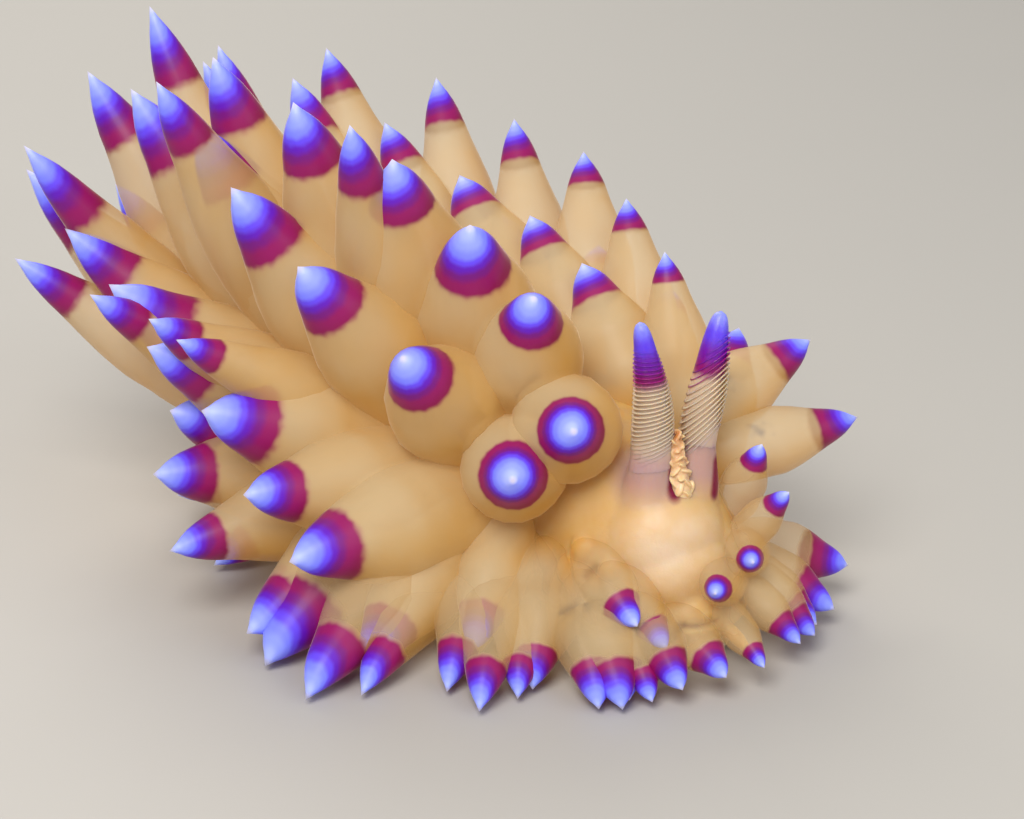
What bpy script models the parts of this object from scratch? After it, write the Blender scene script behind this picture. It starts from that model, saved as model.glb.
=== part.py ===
"""A sea slug of the janolus kind, at life size, resting on the floor as a still model.

The snout points to -Y, the tail to +Y, and the floor is at z = 0.  The body bends
round its own right-hand side.  Sizes below are in millimetres and become metres
where a mesh is written.  A station runs from 0 at the snout to 1 at the tail end
of the mantle, and a height angle runs from 0 low on the flank to 90 on the midline.
"""
import math
import random
from dataclasses import dataclass

import bmesh
import bpy
from mathutils import Matrix, Vector

MM = 0.001
GAP = 0.3
NEAR_GAP = 0.28
FLOOR_CLEARANCE = 0.42
WALL_MARGIN = 0.03
SLIVER = 0.004 * MM
UP = Vector((0.0, 0.0, 1.0))
RIGHT, LEFT = -1, 1

# The body's bend: a level arc, with its middle near the origin.
BEND_RADIUS = 37.46
BEND_START = math.radians(-23.4)
BEND_ANGLE = math.radians(49.4)
BEND_CENTRE = Vector((-36.34, 0.0, 0.0))
BODY_LENGTH = BEND_RADIUS * BEND_ANGLE

# The body's half width and top height at chosen stations.
STATIONS = (0.0, 0.03, 0.08, 0.15, 0.25, 0.4, 0.6, 0.8, 0.92, 1.0)
HALF_WIDTHS = (1.6, 3.2, 4.2, 4.8, 5.2, 5.8, 5.6, 4.5, 3.1, 1.6)
TOP_HEIGHTS = (3.6, 5.4, 7.6, 9.2, 10.2, 10.8, 10.8, 9.2, 6.8, 4.0)
FLANK_FULLNESS = 0.8
CROWN_FULLNESS = 0.9

# The foot, and its pointed end, the tail.
FOOT_THICKNESS = 1.4
FOOT_SHARE = 0.78
FOOT_FRONT, FOOT_REAR = -0.02, 0.93
FOOT_EDGE_HEIGHT = 0.5
SOLE_INSET = 0.35
FOOT_TOP_INSET = 0.25
FOOT_FRONT_TAPER = 0.5
TAIL_END = 1.17
TAIL_ROOT_HALF_WIDTH = 2.3
TAIL_TIP_HALF_WIDTH = 0.35
TAIL_TAPER = 0.8
TAIL_THINNING = 0.7
TAIL_SOLE_INSET = 0.2
TAIL_EDGE_SHARE = 0.45
TAIL_RIDGE_SHARE = 0.5

# The mantle, and the bare strip of back with the heart's low swelling.
MANTLE_BOTTOM = FOOT_THICKNESS + GAP
NECK = 0.165
MANTLE_FRONT = NECK + GAP / BODY_LENGTH
BACK_FRONT, BACK_REAR = MANTLE_FRONT, 0.88
BACK_HALF_WIDTH = 1.2
BACK_DEPTH = 3.4
BACK_EDGE = 0.1
BACK_CROWN = 0.15
HEART_STATION = 0.5
HEART_SPREAD = 0.12
HEART_RISE = 0.5
WALL_FRONT = 0.1
WALL_HEIGHT = 45.0
WALL_BEYOND_TAIL = 30.0

# The head: its rounded snout, its lips and the two small flaps beside the mouth.
HEAD_STATIONS = (0.0, 0.015, 0.03, 0.055, 0.08, 0.11, 0.14, NECK)
HEAD_GROWTH = 1.25
SNOUT_STATION = -0.02
SNOUT_HEIGHT = 2.6
LIP_STATION = -0.012
UPPER_LIP = {"half_length": 1.1, "height": 2.75, "radius": 0.42, "sag": -0.2}
LOWER_LIP = {"half_length": 0.9, "height": 2.02, "radius": 0.3, "sag": 0.05}
TENTACLE_ROOT = {"station": 0.012, "across": 1.5, "height": 2.0}
TENTACLE_TIP = {"station": -0.055, "across": 2.3, "height": 1.1}
TENTACLE_RADIUS = 0.4
TENTACLE_CLEARANCE_REACH = 6.0
ROLL_SIDES = 6
ROLL_RING_PLACES = (0.08, 0.29, 0.5, 0.71, 0.92)

# The rhinophores, the pair of feelers on the head.
RHINOPHORE_STATION = 0.112
RHINOPHORE_SPREAD = 1.5
RHINOPHORE_LENGTH = 8.7
RHINOPHORE_SINK = 1.0
RHINOPHORE_HALF_WIDTH = 1.1
RHINOPHORE_SIDES = 10
RHINOPHORE_LEANS = {RIGHT: 1.0, LEFT: 15.0}
RHINOPHORE_BACK_LEAN = 8.0
RHINOPHORE_STALK = ((0.0, 1.22), (0.1, 1.14), (0.17, 1.02))
RHINOPHORE_TIP = ((0.82, 0.5), (0.92, 0.38), (0.98, 0.16))
RIDGES = 9
RIDGES_START, RIDGES_END = 0.22, 0.82
RIDGE_WIDTH = 1.04
RIDGE_NARROWING = 0.5
GROOVE_SHARE = 0.86
RIDGE_SLANT = 0.16

# The caruncle, the ruffled knob between the feelers: each tier's lobes, reach and height.
CARUNCLE_STATION = 0.075
CARUNCLE_TIERS = (
    (1, 0.0, 0.2),
    (5, 0.5, 0.25),
    (1, 0.0, 0.9),
    (4, 0.42, 0.95),
    (1, 0.0, 1.6),
    (3, 0.36, 1.7),
    (2, 0.22, 2.3),
)
CARUNCLE_LOBE_RADIUS = 0.4
CARUNCLE_CORE_RADIUS = 0.6

# A gill's radius along its length, as a share of its half width.
GILL_PROFILE = ((0.0, 0.5), (0.2, 0.83), (0.43, 1.0), (0.64, 0.9), (0.81, 0.62), (0.93, 0.27))
GILL_TIP_RADIUS = 0.05
GILL_LOOK_AHEAD = 0.03
ROOT_SINK = 1.5
WIDE_GILL = 3.4
WIDE_GILL_SIDES = 8
SLENDER_GILL_SIDES = 6
SWEEP_VARIATION = 2.0
PITCH_VARIATION = 1.5
LENGTH_VARIATION = 0.03
NEIGHBOUR_REACH = 14.0


def three_way(values, u):
    """Return the value at u on the smooth curve through a front, middle and rear value."""
    front, middle, rear = values
    return front + (4 * middle - 3 * front - rear) * u + (2 * front - 4 * middle + 2 * rear) * u * u


def smooth_between(values, station):
    """Return the value at a station on a smooth curve through the chosen stations."""
    last = len(STATIONS) - 2
    i = max(j for j in range(last + 1) if j == 0 or STATIONS[j] <= station)

    def slope(k):
        a, b = max(k - 1, 0), min(k + 1, last + 1)
        return (values[b] - values[a]) / (STATIONS[b] - STATIONS[a])

    span = STATIONS[i + 1] - STATIONS[i]
    t = min(max((station - STATIONS[i]) / span, 0.0), 1.0)
    start = (1 + 2 * t) * (1 - t) ** 2 * values[i] + t * (1 - t) ** 2 * span * slope(i)
    end = t * t * (3 - 2 * t) * values[i + 1] - t * t * (1 - t) * span * slope(i + 1)
    return start + end


def leftward(station):
    """Return the level direction to the body's left."""
    turn = BEND_START + BEND_ANGLE * station
    return Vector((math.cos(turn), math.sin(turn), 0.0))


def tailward(station):
    """Return the level direction towards the tail."""
    return UP.cross(leftward(station))


def place(station, across, height):
    """Return the point at a station, a distance to the left and a height."""
    return BEND_CENTRE + (BEND_RADIUS + across) * leftward(station) + height * UP


def flank(station, angle, side):
    """Return the point of the body's surface at a height angle in degrees."""
    a = math.radians(angle)
    width = smooth_between(HALF_WIDTHS, station) * math.cos(a) ** FLANK_FULLNESS
    rise = (smooth_between(TOP_HEIGHTS, station) - MANTLE_BOTTOM) * math.sin(a) ** CROWN_FULLNESS
    return place(station, side * width, MANTLE_BOTTOM + rise)


def heading(station, side, sweep, pitch):
    """Return the direction that leans tailward by a sweep and upward by a pitch, in degrees."""
    a, b = math.radians(sweep), math.radians(pitch)
    level = math.cos(a) * side * leftward(station) + math.sin(a) * tailward(station)
    return (math.cos(b) * level + math.sin(b) * UP).normalized()


def spaced(first, last, count):
    """Return evenly spaced numbers from the first to the last."""
    return [first + (last - first) * i / (count - 1) for i in range(count)]


def ring_round(middle, reach, along, sides, start=0.0):
    """Return a ring of points round a middle, square to a direction."""
    across = along.cross(UP).normalized()
    rise = across.cross(along)
    turns = [2 * math.pi * (i + start) / sides for i in range(sides)]
    return [middle + reach * (math.cos(a) * across + math.sin(a) * rise) for a in turns]


def material(name, colour, roughness):
    """Return a plain Principled material."""
    result = bpy.data.materials.new(name)
    result.use_nodes = True
    shader = result.node_tree.nodes["Principled BSDF"]
    shader.inputs["Base Color"].default_value = (*colour, 1.0)
    shader.inputs["Roughness"].default_value = roughness
    shader.inputs["Metallic"].default_value = 0.0
    return result


def new_object(name, shape, finish):
    """Write a bmesh in millimetres as an object in metres, and return the object."""
    bmesh.ops.triangulate(shape, faces=shape.faces[:])
    bmesh.ops.recalc_face_normals(shape, faces=shape.faces[:])
    shape.transform(Matrix.Scale(MM, 4))
    mesh = bpy.data.meshes.new(name)
    shape.to_mesh(mesh)
    shape.free()
    mesh.shade_smooth()
    mesh.materials.append(finish)
    result = bpy.data.objects.new(name, mesh)
    bpy.context.scene.collection.objects.link(result)
    return result


def loft(shape, loops, tip=None, root=None):
    """Skin closed loops of equal count, ending in a tip or root point or a flat face."""
    rings = [[shape.verts.new(point) for point in loop] for loop in loops]
    count = len(rings[0])
    for ring, following in zip(rings, rings[1:]):
        for i in range(count):
            j = (i + 1) % count
            shape.faces.new((ring[i], ring[j], following[j], following[i]))
    for ring, point in ((rings[0], root), (rings[-1], tip)):
        if point is None:
            shape.faces.new(ring)
            continue
        end = shape.verts.new(point)
        for i in range(count):
            shape.faces.new((ring[i], ring[(i + 1) % count], end))


@dataclass
class Gill:
    """One leaf-shaped gill: its root on the body, heading, length, width, droop and sink."""

    root: Vector
    way: Vector
    length: float
    width: float
    curl: float
    sink: float

    def lift(self):
        """Return the direction that the tip curls to, square to the heading."""
        upward = UP - UP.dot(self.way) * self.way
        return upward.normalized() if upward.length > 1e-3 else Vector((1.0, 0.0, 0.0))

    def radius(self, t):
        """Return the radius at a share t of the way from root to tip."""
        for (t0, r0), (t1, r1) in zip(GILL_PROFILE, GILL_PROFILE[1:]):
            if t <= t1:
                return self.width / 2 * (r0 + (r1 - r0) * (t - t0) / (t1 - t0))
        return self.width / 2 * GILL_PROFILE[-1][1]

    def point(self, t):
        """Return the middle of the gill at t, kept clear of the floor."""
        whole = self.length + self.sink
        bend = self.lift() * whole * math.tan(math.radians(self.curl)) * t * t / 2
        result = self.root + self.way * (whole * t - self.sink) + bend
        lowest = FLOOR_CLEARANCE + (self.radius(t) if t < 1.0 else GILL_TIP_RADIUS)
        result.z = max(result.z, lowest)
        return result

    def add_to(self, shape, grow):
        """Add the gill's closed skin, grown outwards by a distance, to a bmesh."""
        sides = WIDE_GILL_SIDES if self.width > WIDE_GILL else SLENDER_GILL_SIDES
        loops = []
        for t, _ in GILL_PROFILE:
            ahead, behind = min(t + GILL_LOOK_AHEAD, 1.0), max(t - GILL_LOOK_AHEAD, 0.0)
            along = (self.point(ahead) - self.point(behind)).normalized()
            middle = self.point(t) if t > 0.0 else self.point(0.0) - self.way * grow
            loops.append(ring_round(middle, self.radius(t) + grow, along, sides, 0.5))
        loft(shape, loops, tip=self.point(1.0) + self.way * grow)


@dataclass
class Row:
    """A row of gills along one side, with front, middle and rear values."""

    side: int
    count: int
    stations: tuple
    angles: tuple
    sweeps: tuple
    pitches: tuple
    lengths: tuple
    widths: tuple
    curls: tuple = (6, 6, 6)
    sink: float = ROOT_SINK

    def gills(self, seed):
        """Return the row's gills, each varied a little."""
        draw = random.Random(seed)
        result = []
        for i in range(self.count):
            u = i / (self.count - 1)
            station = self.stations[0] + (self.stations[1] - self.stations[0]) * u
            sweep = three_way(self.sweeps, u) + draw.uniform(-SWEEP_VARIATION, SWEEP_VARIATION)
            pitch = three_way(self.pitches, u) + draw.uniform(-PITCH_VARIATION, PITCH_VARIATION)
            length = three_way(self.lengths, u) * (1 + draw.uniform(-LENGTH_VARIATION, LENGTH_VARIATION))
            root = flank(station, three_way(self.angles, u), self.side)
            way = heading(station, self.side, sweep, pitch)
            width = three_way(self.widths, u)
            result.append(Gill(root, way, length, width, three_way(self.curls, u), self.sink))
        return result


DROOP = (-6, -4, 6)
HANG = (-14, -12, -4)
RIGHT_ROWS = (
    Row(RIGHT, 7, (0.31, 0.92), (68, 66, 58), (-58, -18, 95), (19, 62, 62), (7.7, 15, 23), (5.2, 5.8, 5.0)),
    Row(RIGHT, 3, (0.66, 0.97), (56, 52, 40), (-15, 30, 58), (64, 60, 50), (19, 22, 22), (4.8, 4.6, 4.2)),
    Row(RIGHT, 7, (0.36, 0.93), (42, 46, 44), (-50, 34, 92), (13, 52, 50), (8, 16.5, 22.5), (5.0, 6.2, 5.0)),
    Row(RIGHT, 4, (0.62, 0.95), (34, 32, 28), (20, 32, 62), (30, 33, 35), (16, 16.5, 19), (4.2, 4.4, 4.0)),
    Row(RIGHT, 7, (0.40, 0.95), (26, 28, 28), (-4, 34, 78), (-2, 27, 42), (13.4, 14.8, 20.5), (5.4, 5.8, 4.8)),
    Row(RIGHT, 6, (0.34, 0.80), (20, 16, 16), (-43, 6, 30), (-22, -4, 26), (9, 14, 13), (3.6, 4.6, 4.2), DROOP),
    Row(RIGHT, 7, (0.22, 0.52), (12, 12, 12), (-57, -37, -5), (-16, -17, -14), (9, 12.5, 16),
        (2.8, 3.4, 4.4), HANG),
    Row(RIGHT, 3, (0.62, 0.86), (10, 10, 10), (10, 25, 48), (-12, -10, -4), (11, 10, 8.5), (3.4, 3.4, 3.2), HANG),
)
LEFT_ROWS = (
    Row(LEFT, 6, (0.30, 0.92), (68, 66, 58), (88, 72, 70), (44, 42, 58), (8.2, 12, 20), (4.4, 4.8, 4.4)),
    Row(LEFT, 7, (0.22, 0.90), (50, 50, 48), (82, 52, 80), (67, 49, 54), (10, 14.3, 20), (3.8, 4.6, 4.4)),
    Row(LEFT, 2, (0.19, 0.24), (50, 55, 60), (-18, -14, -10), (6, 14, 24), (8.6, 8.7, 8.8), (3.6, 3.7, 3.8)),
    Row(LEFT, 7, (0.24, 0.99), (31, 30, 30), (38, 50, 82), (30, 30, 38), (9, 12, 17), (4.0, 4.8, 4.0)),
    Row(LEFT, 6, (0.25, 0.95), (16, 16, 16), (62, 45, 74), (10, 6, 14), (7, 12, 12), (3.2, 4.4, 3.6)),
    Row(LEFT, 8, (0.24, 0.86), (10, 10, 10), (64, 35, 48), (-12, -10, -4), (7, 11, 9), (3.0, 3.8, 3.2), HANG),
)
HEAD_ROWS = (
    Row(RIGHT, 6, (0.0, 0.15), (30, 14, 14), (-102, -88, -64), (-4, -20, -23), (5.0, 6.6, 8.6),
        (2.0, 2.4, 2.8), HANG, 1.0),
    Row(LEFT, 6, (0.0, 0.14), (36, 15, 12), (-84, -62, -32), (-6, -18, -12), (4.6, 5.0, 7.0),
        (1.8, 2.0, 2.7), HANG, 1.0),
    Row(RIGHT, 2, (0.06, 0.12), (30, 28, 26), (-100, -94, -88), (-18, -18, -18), (4.6, 5, 5.4),
        (2.2, 2.4, 2.6), DROOP, 1.2),
    Row(LEFT, 2, (0.02, 0.07), (50, 40, 30), (-126, -118, -111), (18, 14, 12), (3.8, 3.9, 4.0),
        (2.2, 2.4, 2.4), DROOP, 1.2),
    Row(LEFT, 2, (0.08, 0.13), (30, 31, 32), (-61, -64, -67), (58, 60, 62), (4.5, 4.6, 4.8),
        (2.2, 2.2, 2.2), DROOP, 1.1),
)
FIRST_SEEDS = {RIGHT: -10, LEFT: 10, "head": 50}

FLESH = material("Amber flesh", (0.72, 0.47, 0.24), 0.35)
GILL_FLESH = material("Violet-tipped gill flesh", (0.55, 0.36, 0.42), 0.3)
CREAM = material("Cream feeler", (0.80, 0.66, 0.50), 0.4)
SOLE = material("Pale sole", (0.80, 0.70, 0.52), 0.4)


def gills_of(rows, first_seed):
    """Return every gill of some rows."""
    return [gill for k, row in enumerate(rows) for gill in row.gills(first_seed + k)]


def clear_scene():
    """Remove every object."""
    for item in list(bpy.data.objects):
        bpy.data.objects.remove(item, do_unlink=True)


def volume_of(faces):
    """Return the volume that a closed surface holds."""
    total = 0.0
    for face in faces:
        corners = [corner.co for corner in face.verts]
        for b, c in zip(corners[1:], corners[2:]):
            total += corners[0].dot(b.cross(c)) / 6
    return total


def keep_largest(item):
    """Drop every closed surface of an object but the one of greatest volume."""
    shape = bmesh.new()
    shape.from_mesh(item.data)
    left_over = set(shape.faces)
    islands = []
    while left_over:
        island = {left_over.pop()}
        edge_of_search = list(island)
        while edge_of_search:
            face = edge_of_search.pop()
            for edge in face.edges:
                for neighbour in edge.link_faces:
                    if neighbour in left_over:
                        left_over.remove(neighbour)
                        island.add(neighbour)
                        edge_of_search.append(neighbour)
        islands.append(island)
    largest = max(islands, key=volume_of)
    loose = [face for island in islands if island is not largest for face in island]
    bmesh.ops.delete(shape, geom=loose, context="FACES")
    bmesh.ops.remove_doubles(shape, verts=shape.verts[:], dist=SLIVER)
    bmesh.ops.dissolve_degenerate(shape, edges=shape.edges[:], dist=SLIVER)
    bmesh.ops.triangulate(shape, faces=shape.faces[:])
    shape.to_mesh(item.data)
    shape.free()


def combine(item, pieces, operation):
    """Join pieces to an object, or cut them out of it, in one step, and remove the pieces."""
    group = bpy.data.collections.new(item.name + " pieces")
    bpy.context.scene.collection.children.link(group)
    for piece in pieces:
        bpy.context.scene.collection.objects.unlink(piece)
        group.objects.link(piece)
        piece.hide_render = True
        piece.display_type = "WIRE"
    step = item.modifiers.new(operation, "BOOLEAN")
    step.operation = operation
    step.operand_type = "COLLECTION"
    step.collection = group
    step.solver = "MANIFOLD"
    bpy.context.view_layer.update()
    graph = bpy.context.evaluated_depsgraph_get()
    result = bpy.data.meshes.new_from_object(item.evaluated_get(graph))
    item.modifiers.clear()
    item.data = result
    for piece in pieces:
        bpy.data.objects.remove(piece, do_unlink=True)
    bpy.data.collections.remove(group)
    keep_largest(item)


def gill_objects(gills, grow=0.0):
    """Return one object for each gill, grown outwards by a distance."""
    result = []
    for i, gill in enumerate(gills):
        shape = bmesh.new()
        gill.add_to(shape, grow)
        result.append(new_object(f"gill {i}", shape, GILL_FLESH))
    return result


def half_section(station, side, grow):
    """Return one half of the body's outline at a station, clear of the midline."""
    edge = side * (GAP / 2 + WALL_MARGIN - grow)
    outward = side * grow * leftward(station)
    loop = [place(station, edge, MANTLE_BOTTOM - grow)]
    loop.append(flank(station, 0, side) + outward - UP * grow)
    for angle in spaced(14, 84, 6):
        a = math.radians(angle)
        loop.append(flank(station, angle, side) + outward * math.cos(a) + UP * grow * math.sin(a))
    loop.append(place(station, edge, smooth_between(TOP_HEIGHTS, station) + grow))
    return loop


def whole_section(station):
    """Return the body's whole outline at a station."""
    angles = spaced(0, 90, 7)
    right = [flank(station, angle, RIGHT) for angle in angles]
    left = [flank(station, angle, LEFT) for angle in reversed(angles[:-1])]
    return right + left


def back_strip(grow=0.0):
    """Build the bare strip along the midline of the back, grown outwards by a distance."""
    shape = bmesh.new()
    loops = []
    half = BACK_HALF_WIDTH + grow
    end_gap = grow / BODY_LENGTH
    for station in spaced(BACK_FRONT - end_gap, BACK_REAR + end_gap, 12):
        top = smooth_between(TOP_HEIGHTS, station)
        swelling = HEART_RISE * math.exp(-((station - HEART_STATION) / HEART_SPREAD) ** 2)
        bottom = top - BACK_DEPTH - grow
        shoulder = top - BACK_EDGE + 2 * grow
        crown = top + BACK_CROWN + swelling + 2 * grow
        between = (shoulder + crown) / 2 + BACK_EDGE
        upper = ((1, shoulder), (0.5, between), (0, crown), (-0.5, between), (-1, shoulder))
        outline = ((-1, bottom), (1, bottom), *upper)
        loops.append([place(station, across * half, height) for across, height in outline])
    loft(shape, loops)
    return new_object("back", shape, FLESH)


def midline_wall():
    """Return the thin wall that keeps the gills of the two sides apart."""
    shape = bmesh.new()
    outline = ((-1, -1.0), (1, -1.0), (1, WALL_HEIGHT), (-1, WALL_HEIGHT))
    loops = []
    for station in spaced(WALL_FRONT, 1.0, 14):
        loops.append([place(station, side * GAP / 2, height) for side, height in outline])
    loops.append([point + tailward(1.0) * WALL_BEYOND_TAIL for point in loops[-1]])
    loft(shape, loops)
    return new_object("midline wall", shape, FLESH)


def mantle_core(side, grow=0.0):
    """Return one bare half of the mantle, grown outwards by a distance."""
    shape = bmesh.new()
    end_gap = grow / BODY_LENGTH
    loft(shape, [half_section(station, side, grow) for station in spaced(MANTLE_FRONT - end_gap, 1.0, 13)])
    return new_object("mantle_right" if side == RIGHT else "mantle_left", shape, GILL_FLESH)


def mantle(side, gills):
    """Build one side of the mantle with its gills, clear of its neighbours."""
    core = mantle_core(side)
    combine(core, gill_objects(gills), "UNION")
    combine(core, [back_strip(GAP), midline_wall(), foot(NEAR_GAP), tail(NEAR_GAP)], "DIFFERENCE")
    return core


def foot(grow=0.0):
    """Build the flat creeping foot, grown outwards by a distance."""
    shape = bmesh.new()
    loops = []
    for station in [FOOT_FRONT, 0.0, 0.03] + spaced(0.08, FOOT_REAR, 11):
        reach = smooth_between(HALF_WIDTHS, max(station, 0.0)) * FOOT_SHARE + grow
        reach -= FOOT_FRONT_TAPER * min(station, 0.0) / FOOT_FRONT
        top = FOOT_THICKNESS + grow
        half = ((reach - SOLE_INSET, -grow), (reach, FOOT_EDGE_HEIGHT), (reach - FOOT_TOP_INSET, top))
        outline = [(-half[0][0], -grow), *half, (-half[2][0], top), (-reach, FOOT_EDGE_HEIGHT)]
        loops.append([place(station, across, height) for across, height in outline])
    loft(shape, loops)
    return new_object("foot", shape, SOLE)


def tail(grow=0.0):
    """Build the pointed end of the foot, flat on the floor, grown outwards by a distance."""
    shape = bmesh.new()
    loops = []
    start = FOOT_REAR + GAP / BODY_LENGTH
    for station in spaced(start, TAIL_END, 7):
        share = (station - start) / (TAIL_END - start)
        reach = TAIL_ROOT_HALF_WIDTH * (1 - share) ** TAIL_TAPER + TAIL_TIP_HALF_WIDTH + grow
        top = FOOT_THICKNESS - TAIL_THINNING * share + grow
        ridge, edge = reach * TAIL_RIDGE_SHARE, top * TAIL_EDGE_SHARE
        sole = reach - TAIL_SOLE_INSET
        outline = ((-sole, -grow), (sole, -grow), (reach, edge), (ridge, top), (-ridge, top), (-reach, edge))
        loops.append([place(station, across, height) for across, height in outline])
    loft(shape, loops)
    return new_object("tail", shape, SOLE)


def head_core(grow=0.0):
    """Build the bare head, from the neck to the rounded snout."""
    shape = bmesh.new()
    loops = []
    for station in HEAD_STATIONS:
        middle = place(station, 0, (MANTLE_BOTTOM + smooth_between(TOP_HEIGHTS, station)) / 2)
        outline = [point + (point - middle).normalized() * grow * HEAD_GROWTH for point in whole_section(station)]
        for lowest in (outline[0], outline[-1]):
            lowest.z = MANTLE_BOTTOM - grow
        loops.append(outline)
    snout = place(SNOUT_STATION, 0, SNOUT_HEIGHT) - tailward(0) * grow
    loft(shape, loops, root=snout)
    return new_object("head", shape, FLESH)


def fleshy_roll(first, last, radius, sag=0.0):
    """Return a tapered roll between two points, bowed downwards by a sag."""
    shape = bmesh.new()
    along = (last - first).normalized()
    loops = []
    for u in ROLL_RING_PLACES:
        swell = math.sin(math.pi * u)
        middle = first.lerp(last, u) - UP * sag * swell
        loops.append(ring_round(middle, radius * swell ** 0.5, along, ROLL_SIDES))
    loft(shape, loops, tip=last, root=first)
    return new_object("roll", shape, FLESH)


def lip(sizes):
    """Return one lip, from its half length, height, radius and sag."""
    ends = [place(LIP_STATION, side * sizes["half_length"], sizes["height"]) for side in (RIGHT, LEFT)]
    return fleshy_roll(*ends, sizes["radius"], sizes["sag"])


def head(gills, neighbours):
    """Build the head with its lips and its fringe, cut clear of the gills behind it."""
    core = head_core()
    combine(core, gill_objects(gills) + [lip(UPPER_LIP), lip(LOWER_LIP)], "UNION")
    behind = [mantle_core(RIGHT, NEAR_GAP), mantle_core(LEFT, NEAR_GAP)]
    combine(core, gill_objects(neighbours, GAP) + behind + [foot(NEAR_GAP)], "DIFFERENCE")
    return core


def feeler_profile():
    """Return the feeler's rings: each one's share of the length and its radius."""
    rings = list(RHINOPHORE_STALK)
    step = (RIDGES_END - RIDGES_START) / RIDGES
    for i in range(RIDGES):
        t = RIDGES_START + step * i
        reach = RIDGE_WIDTH - RIDGE_NARROWING * t
        rings.append((t, reach * GROOVE_SHARE))
        rings.append((t + step / 2, reach))
    rings.extend(RHINOPHORE_TIP)
    return [(t, reach * RHINOPHORE_HALF_WIDTH) for t, reach in rings]


def feeler(side, grow=0.0):
    """Return one whole feeler: a stalk and a ridged club, grown outwards by a distance."""
    top = smooth_between(TOP_HEIGHTS, RHINOPHORE_STATION)
    base = place(RHINOPHORE_STATION, side * RHINOPHORE_SPREAD, top - RHINOPHORE_SINK)
    back = tailward(RHINOPHORE_STATION)
    way = UP + math.tan(math.radians(RHINOPHORE_LEANS[side])) * side * leftward(RHINOPHORE_STATION)
    way = (way + math.tan(math.radians(RHINOPHORE_BACK_LEAN)) * back).normalized()
    across = way.cross(back).normalized()
    rise = across.cross(way)
    whole = RHINOPHORE_LENGTH + RHINOPHORE_SINK
    turns = [2 * math.pi * k / RHINOPHORE_SIDES for k in range(RHINOPHORE_SIDES)]
    loops = []
    for t, reach in feeler_profile():
        middle = base + way * whole * t
        loops.append([middle + way * RIDGE_SLANT * reach * math.sin(a)
                      + (reach + grow) * (math.cos(a) * across + math.sin(a) * rise) for a in turns])
    shape = bmesh.new()
    loft(shape, loops, tip=base + way * (whole + grow))
    return new_object("rhinophore_right" if side == RIGHT else "rhinophore_left", shape, CREAM)


def rhinophore(side):
    """Build one feeler, cut to stand on the head."""
    result = feeler(side)
    combine(result, [head_core(GAP)], "DIFFERENCE")
    return result


def caruncle():
    """Build the ruffled knob in front of and between the feelers."""
    top = smooth_between(TOP_HEIGHTS, CARUNCLE_STATION)
    pieces = []
    for count, reach, rise in CARUNCLE_TIERS:
        radius = CARUNCLE_CORE_RADIUS if count == 1 else CARUNCLE_LOBE_RADIUS
        for i in range(count):
            turn = 2 * math.pi * (i + rise) / count
            spot = place(CARUNCLE_STATION, reach * math.cos(turn), top + rise)
            spot += tailward(CARUNCLE_STATION) * reach * math.sin(turn)
            shape = bmesh.new()
            bmesh.ops.create_uvsphere(shape, u_segments=7, v_segments=5, radius=radius)
            bmesh.ops.translate(shape, verts=shape.verts, vec=spot)
            pieces.append(new_object("caruncle" if not pieces else "lobe", shape, CREAM))
    combine(pieces[0], pieces[1:], "UNION")
    combine(pieces[0], [head_core(GAP), feeler(RIGHT, GAP), feeler(LEFT, GAP)], "DIFFERENCE")
    return pieces[0]


def oral_tentacle(side, fringe):
    """Build one of the two small flaps beside the mouth, cut clear of the head and fringe."""
    ends = (TENTACLE_ROOT, TENTACLE_TIP)
    root, tip = [place(end["station"], side * end["across"], end["height"]) for end in ends]
    flap = fleshy_roll(root, tip, TENTACLE_RADIUS)
    flap.name = "oral_tentacle_right" if side == RIGHT else "oral_tentacle_left"
    near = [gill for gill in fringe if (gill.root - tip).length < TENTACLE_CLEARANCE_REACH]
    combine(flap, [head_core(GAP)] + gill_objects(near, GAP), "DIFFERENCE")
    return flap


def main():
    """Build every part."""
    clear_scene()
    mantle_gills = {
        RIGHT: gills_of(RIGHT_ROWS, FIRST_SEEDS[RIGHT]),
        LEFT: gills_of(LEFT_ROWS, FIRST_SEEDS[LEFT]),
    }
    for side, gills in mantle_gills.items():
        mantle(side, gills)
    head_gills = gills_of(HEAD_ROWS, FIRST_SEEDS["head"])
    near_head = [gill for gill in mantle_gills[RIGHT] + mantle_gills[LEFT]
                 if (gill.root - place(0.1, 0, 0)).length < NEIGHBOUR_REACH]
    head(head_gills, near_head)
    back_strip()
    foot()
    tail()
    for side in (RIGHT, LEFT):
        rhinophore(side)
        oral_tentacle(side, head_gills)
    caruncle()


main()
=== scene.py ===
"""The looks of a life-size sea slug of the janolus kind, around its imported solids.

The snout points to -Y and the tail to +Y, and the floor is at z = 0.  Sizes are in
millimetres unless a name says otherwise, and become metres where a mesh is written.
A station runs from 0 at the snout to 1 at the tail end of the mantle.
"""

import logging
import math
import random
from dataclasses import dataclass, field
from enum import Enum

import bmesh
import bpy
import numpy as np
from bmesh.types import BMesh
from bpy.types import ColorRamp, CurveMapping, Material, Mesh, Node, NodeSocket, NodeTree, Object
from mathutils import Matrix, Vector


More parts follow.
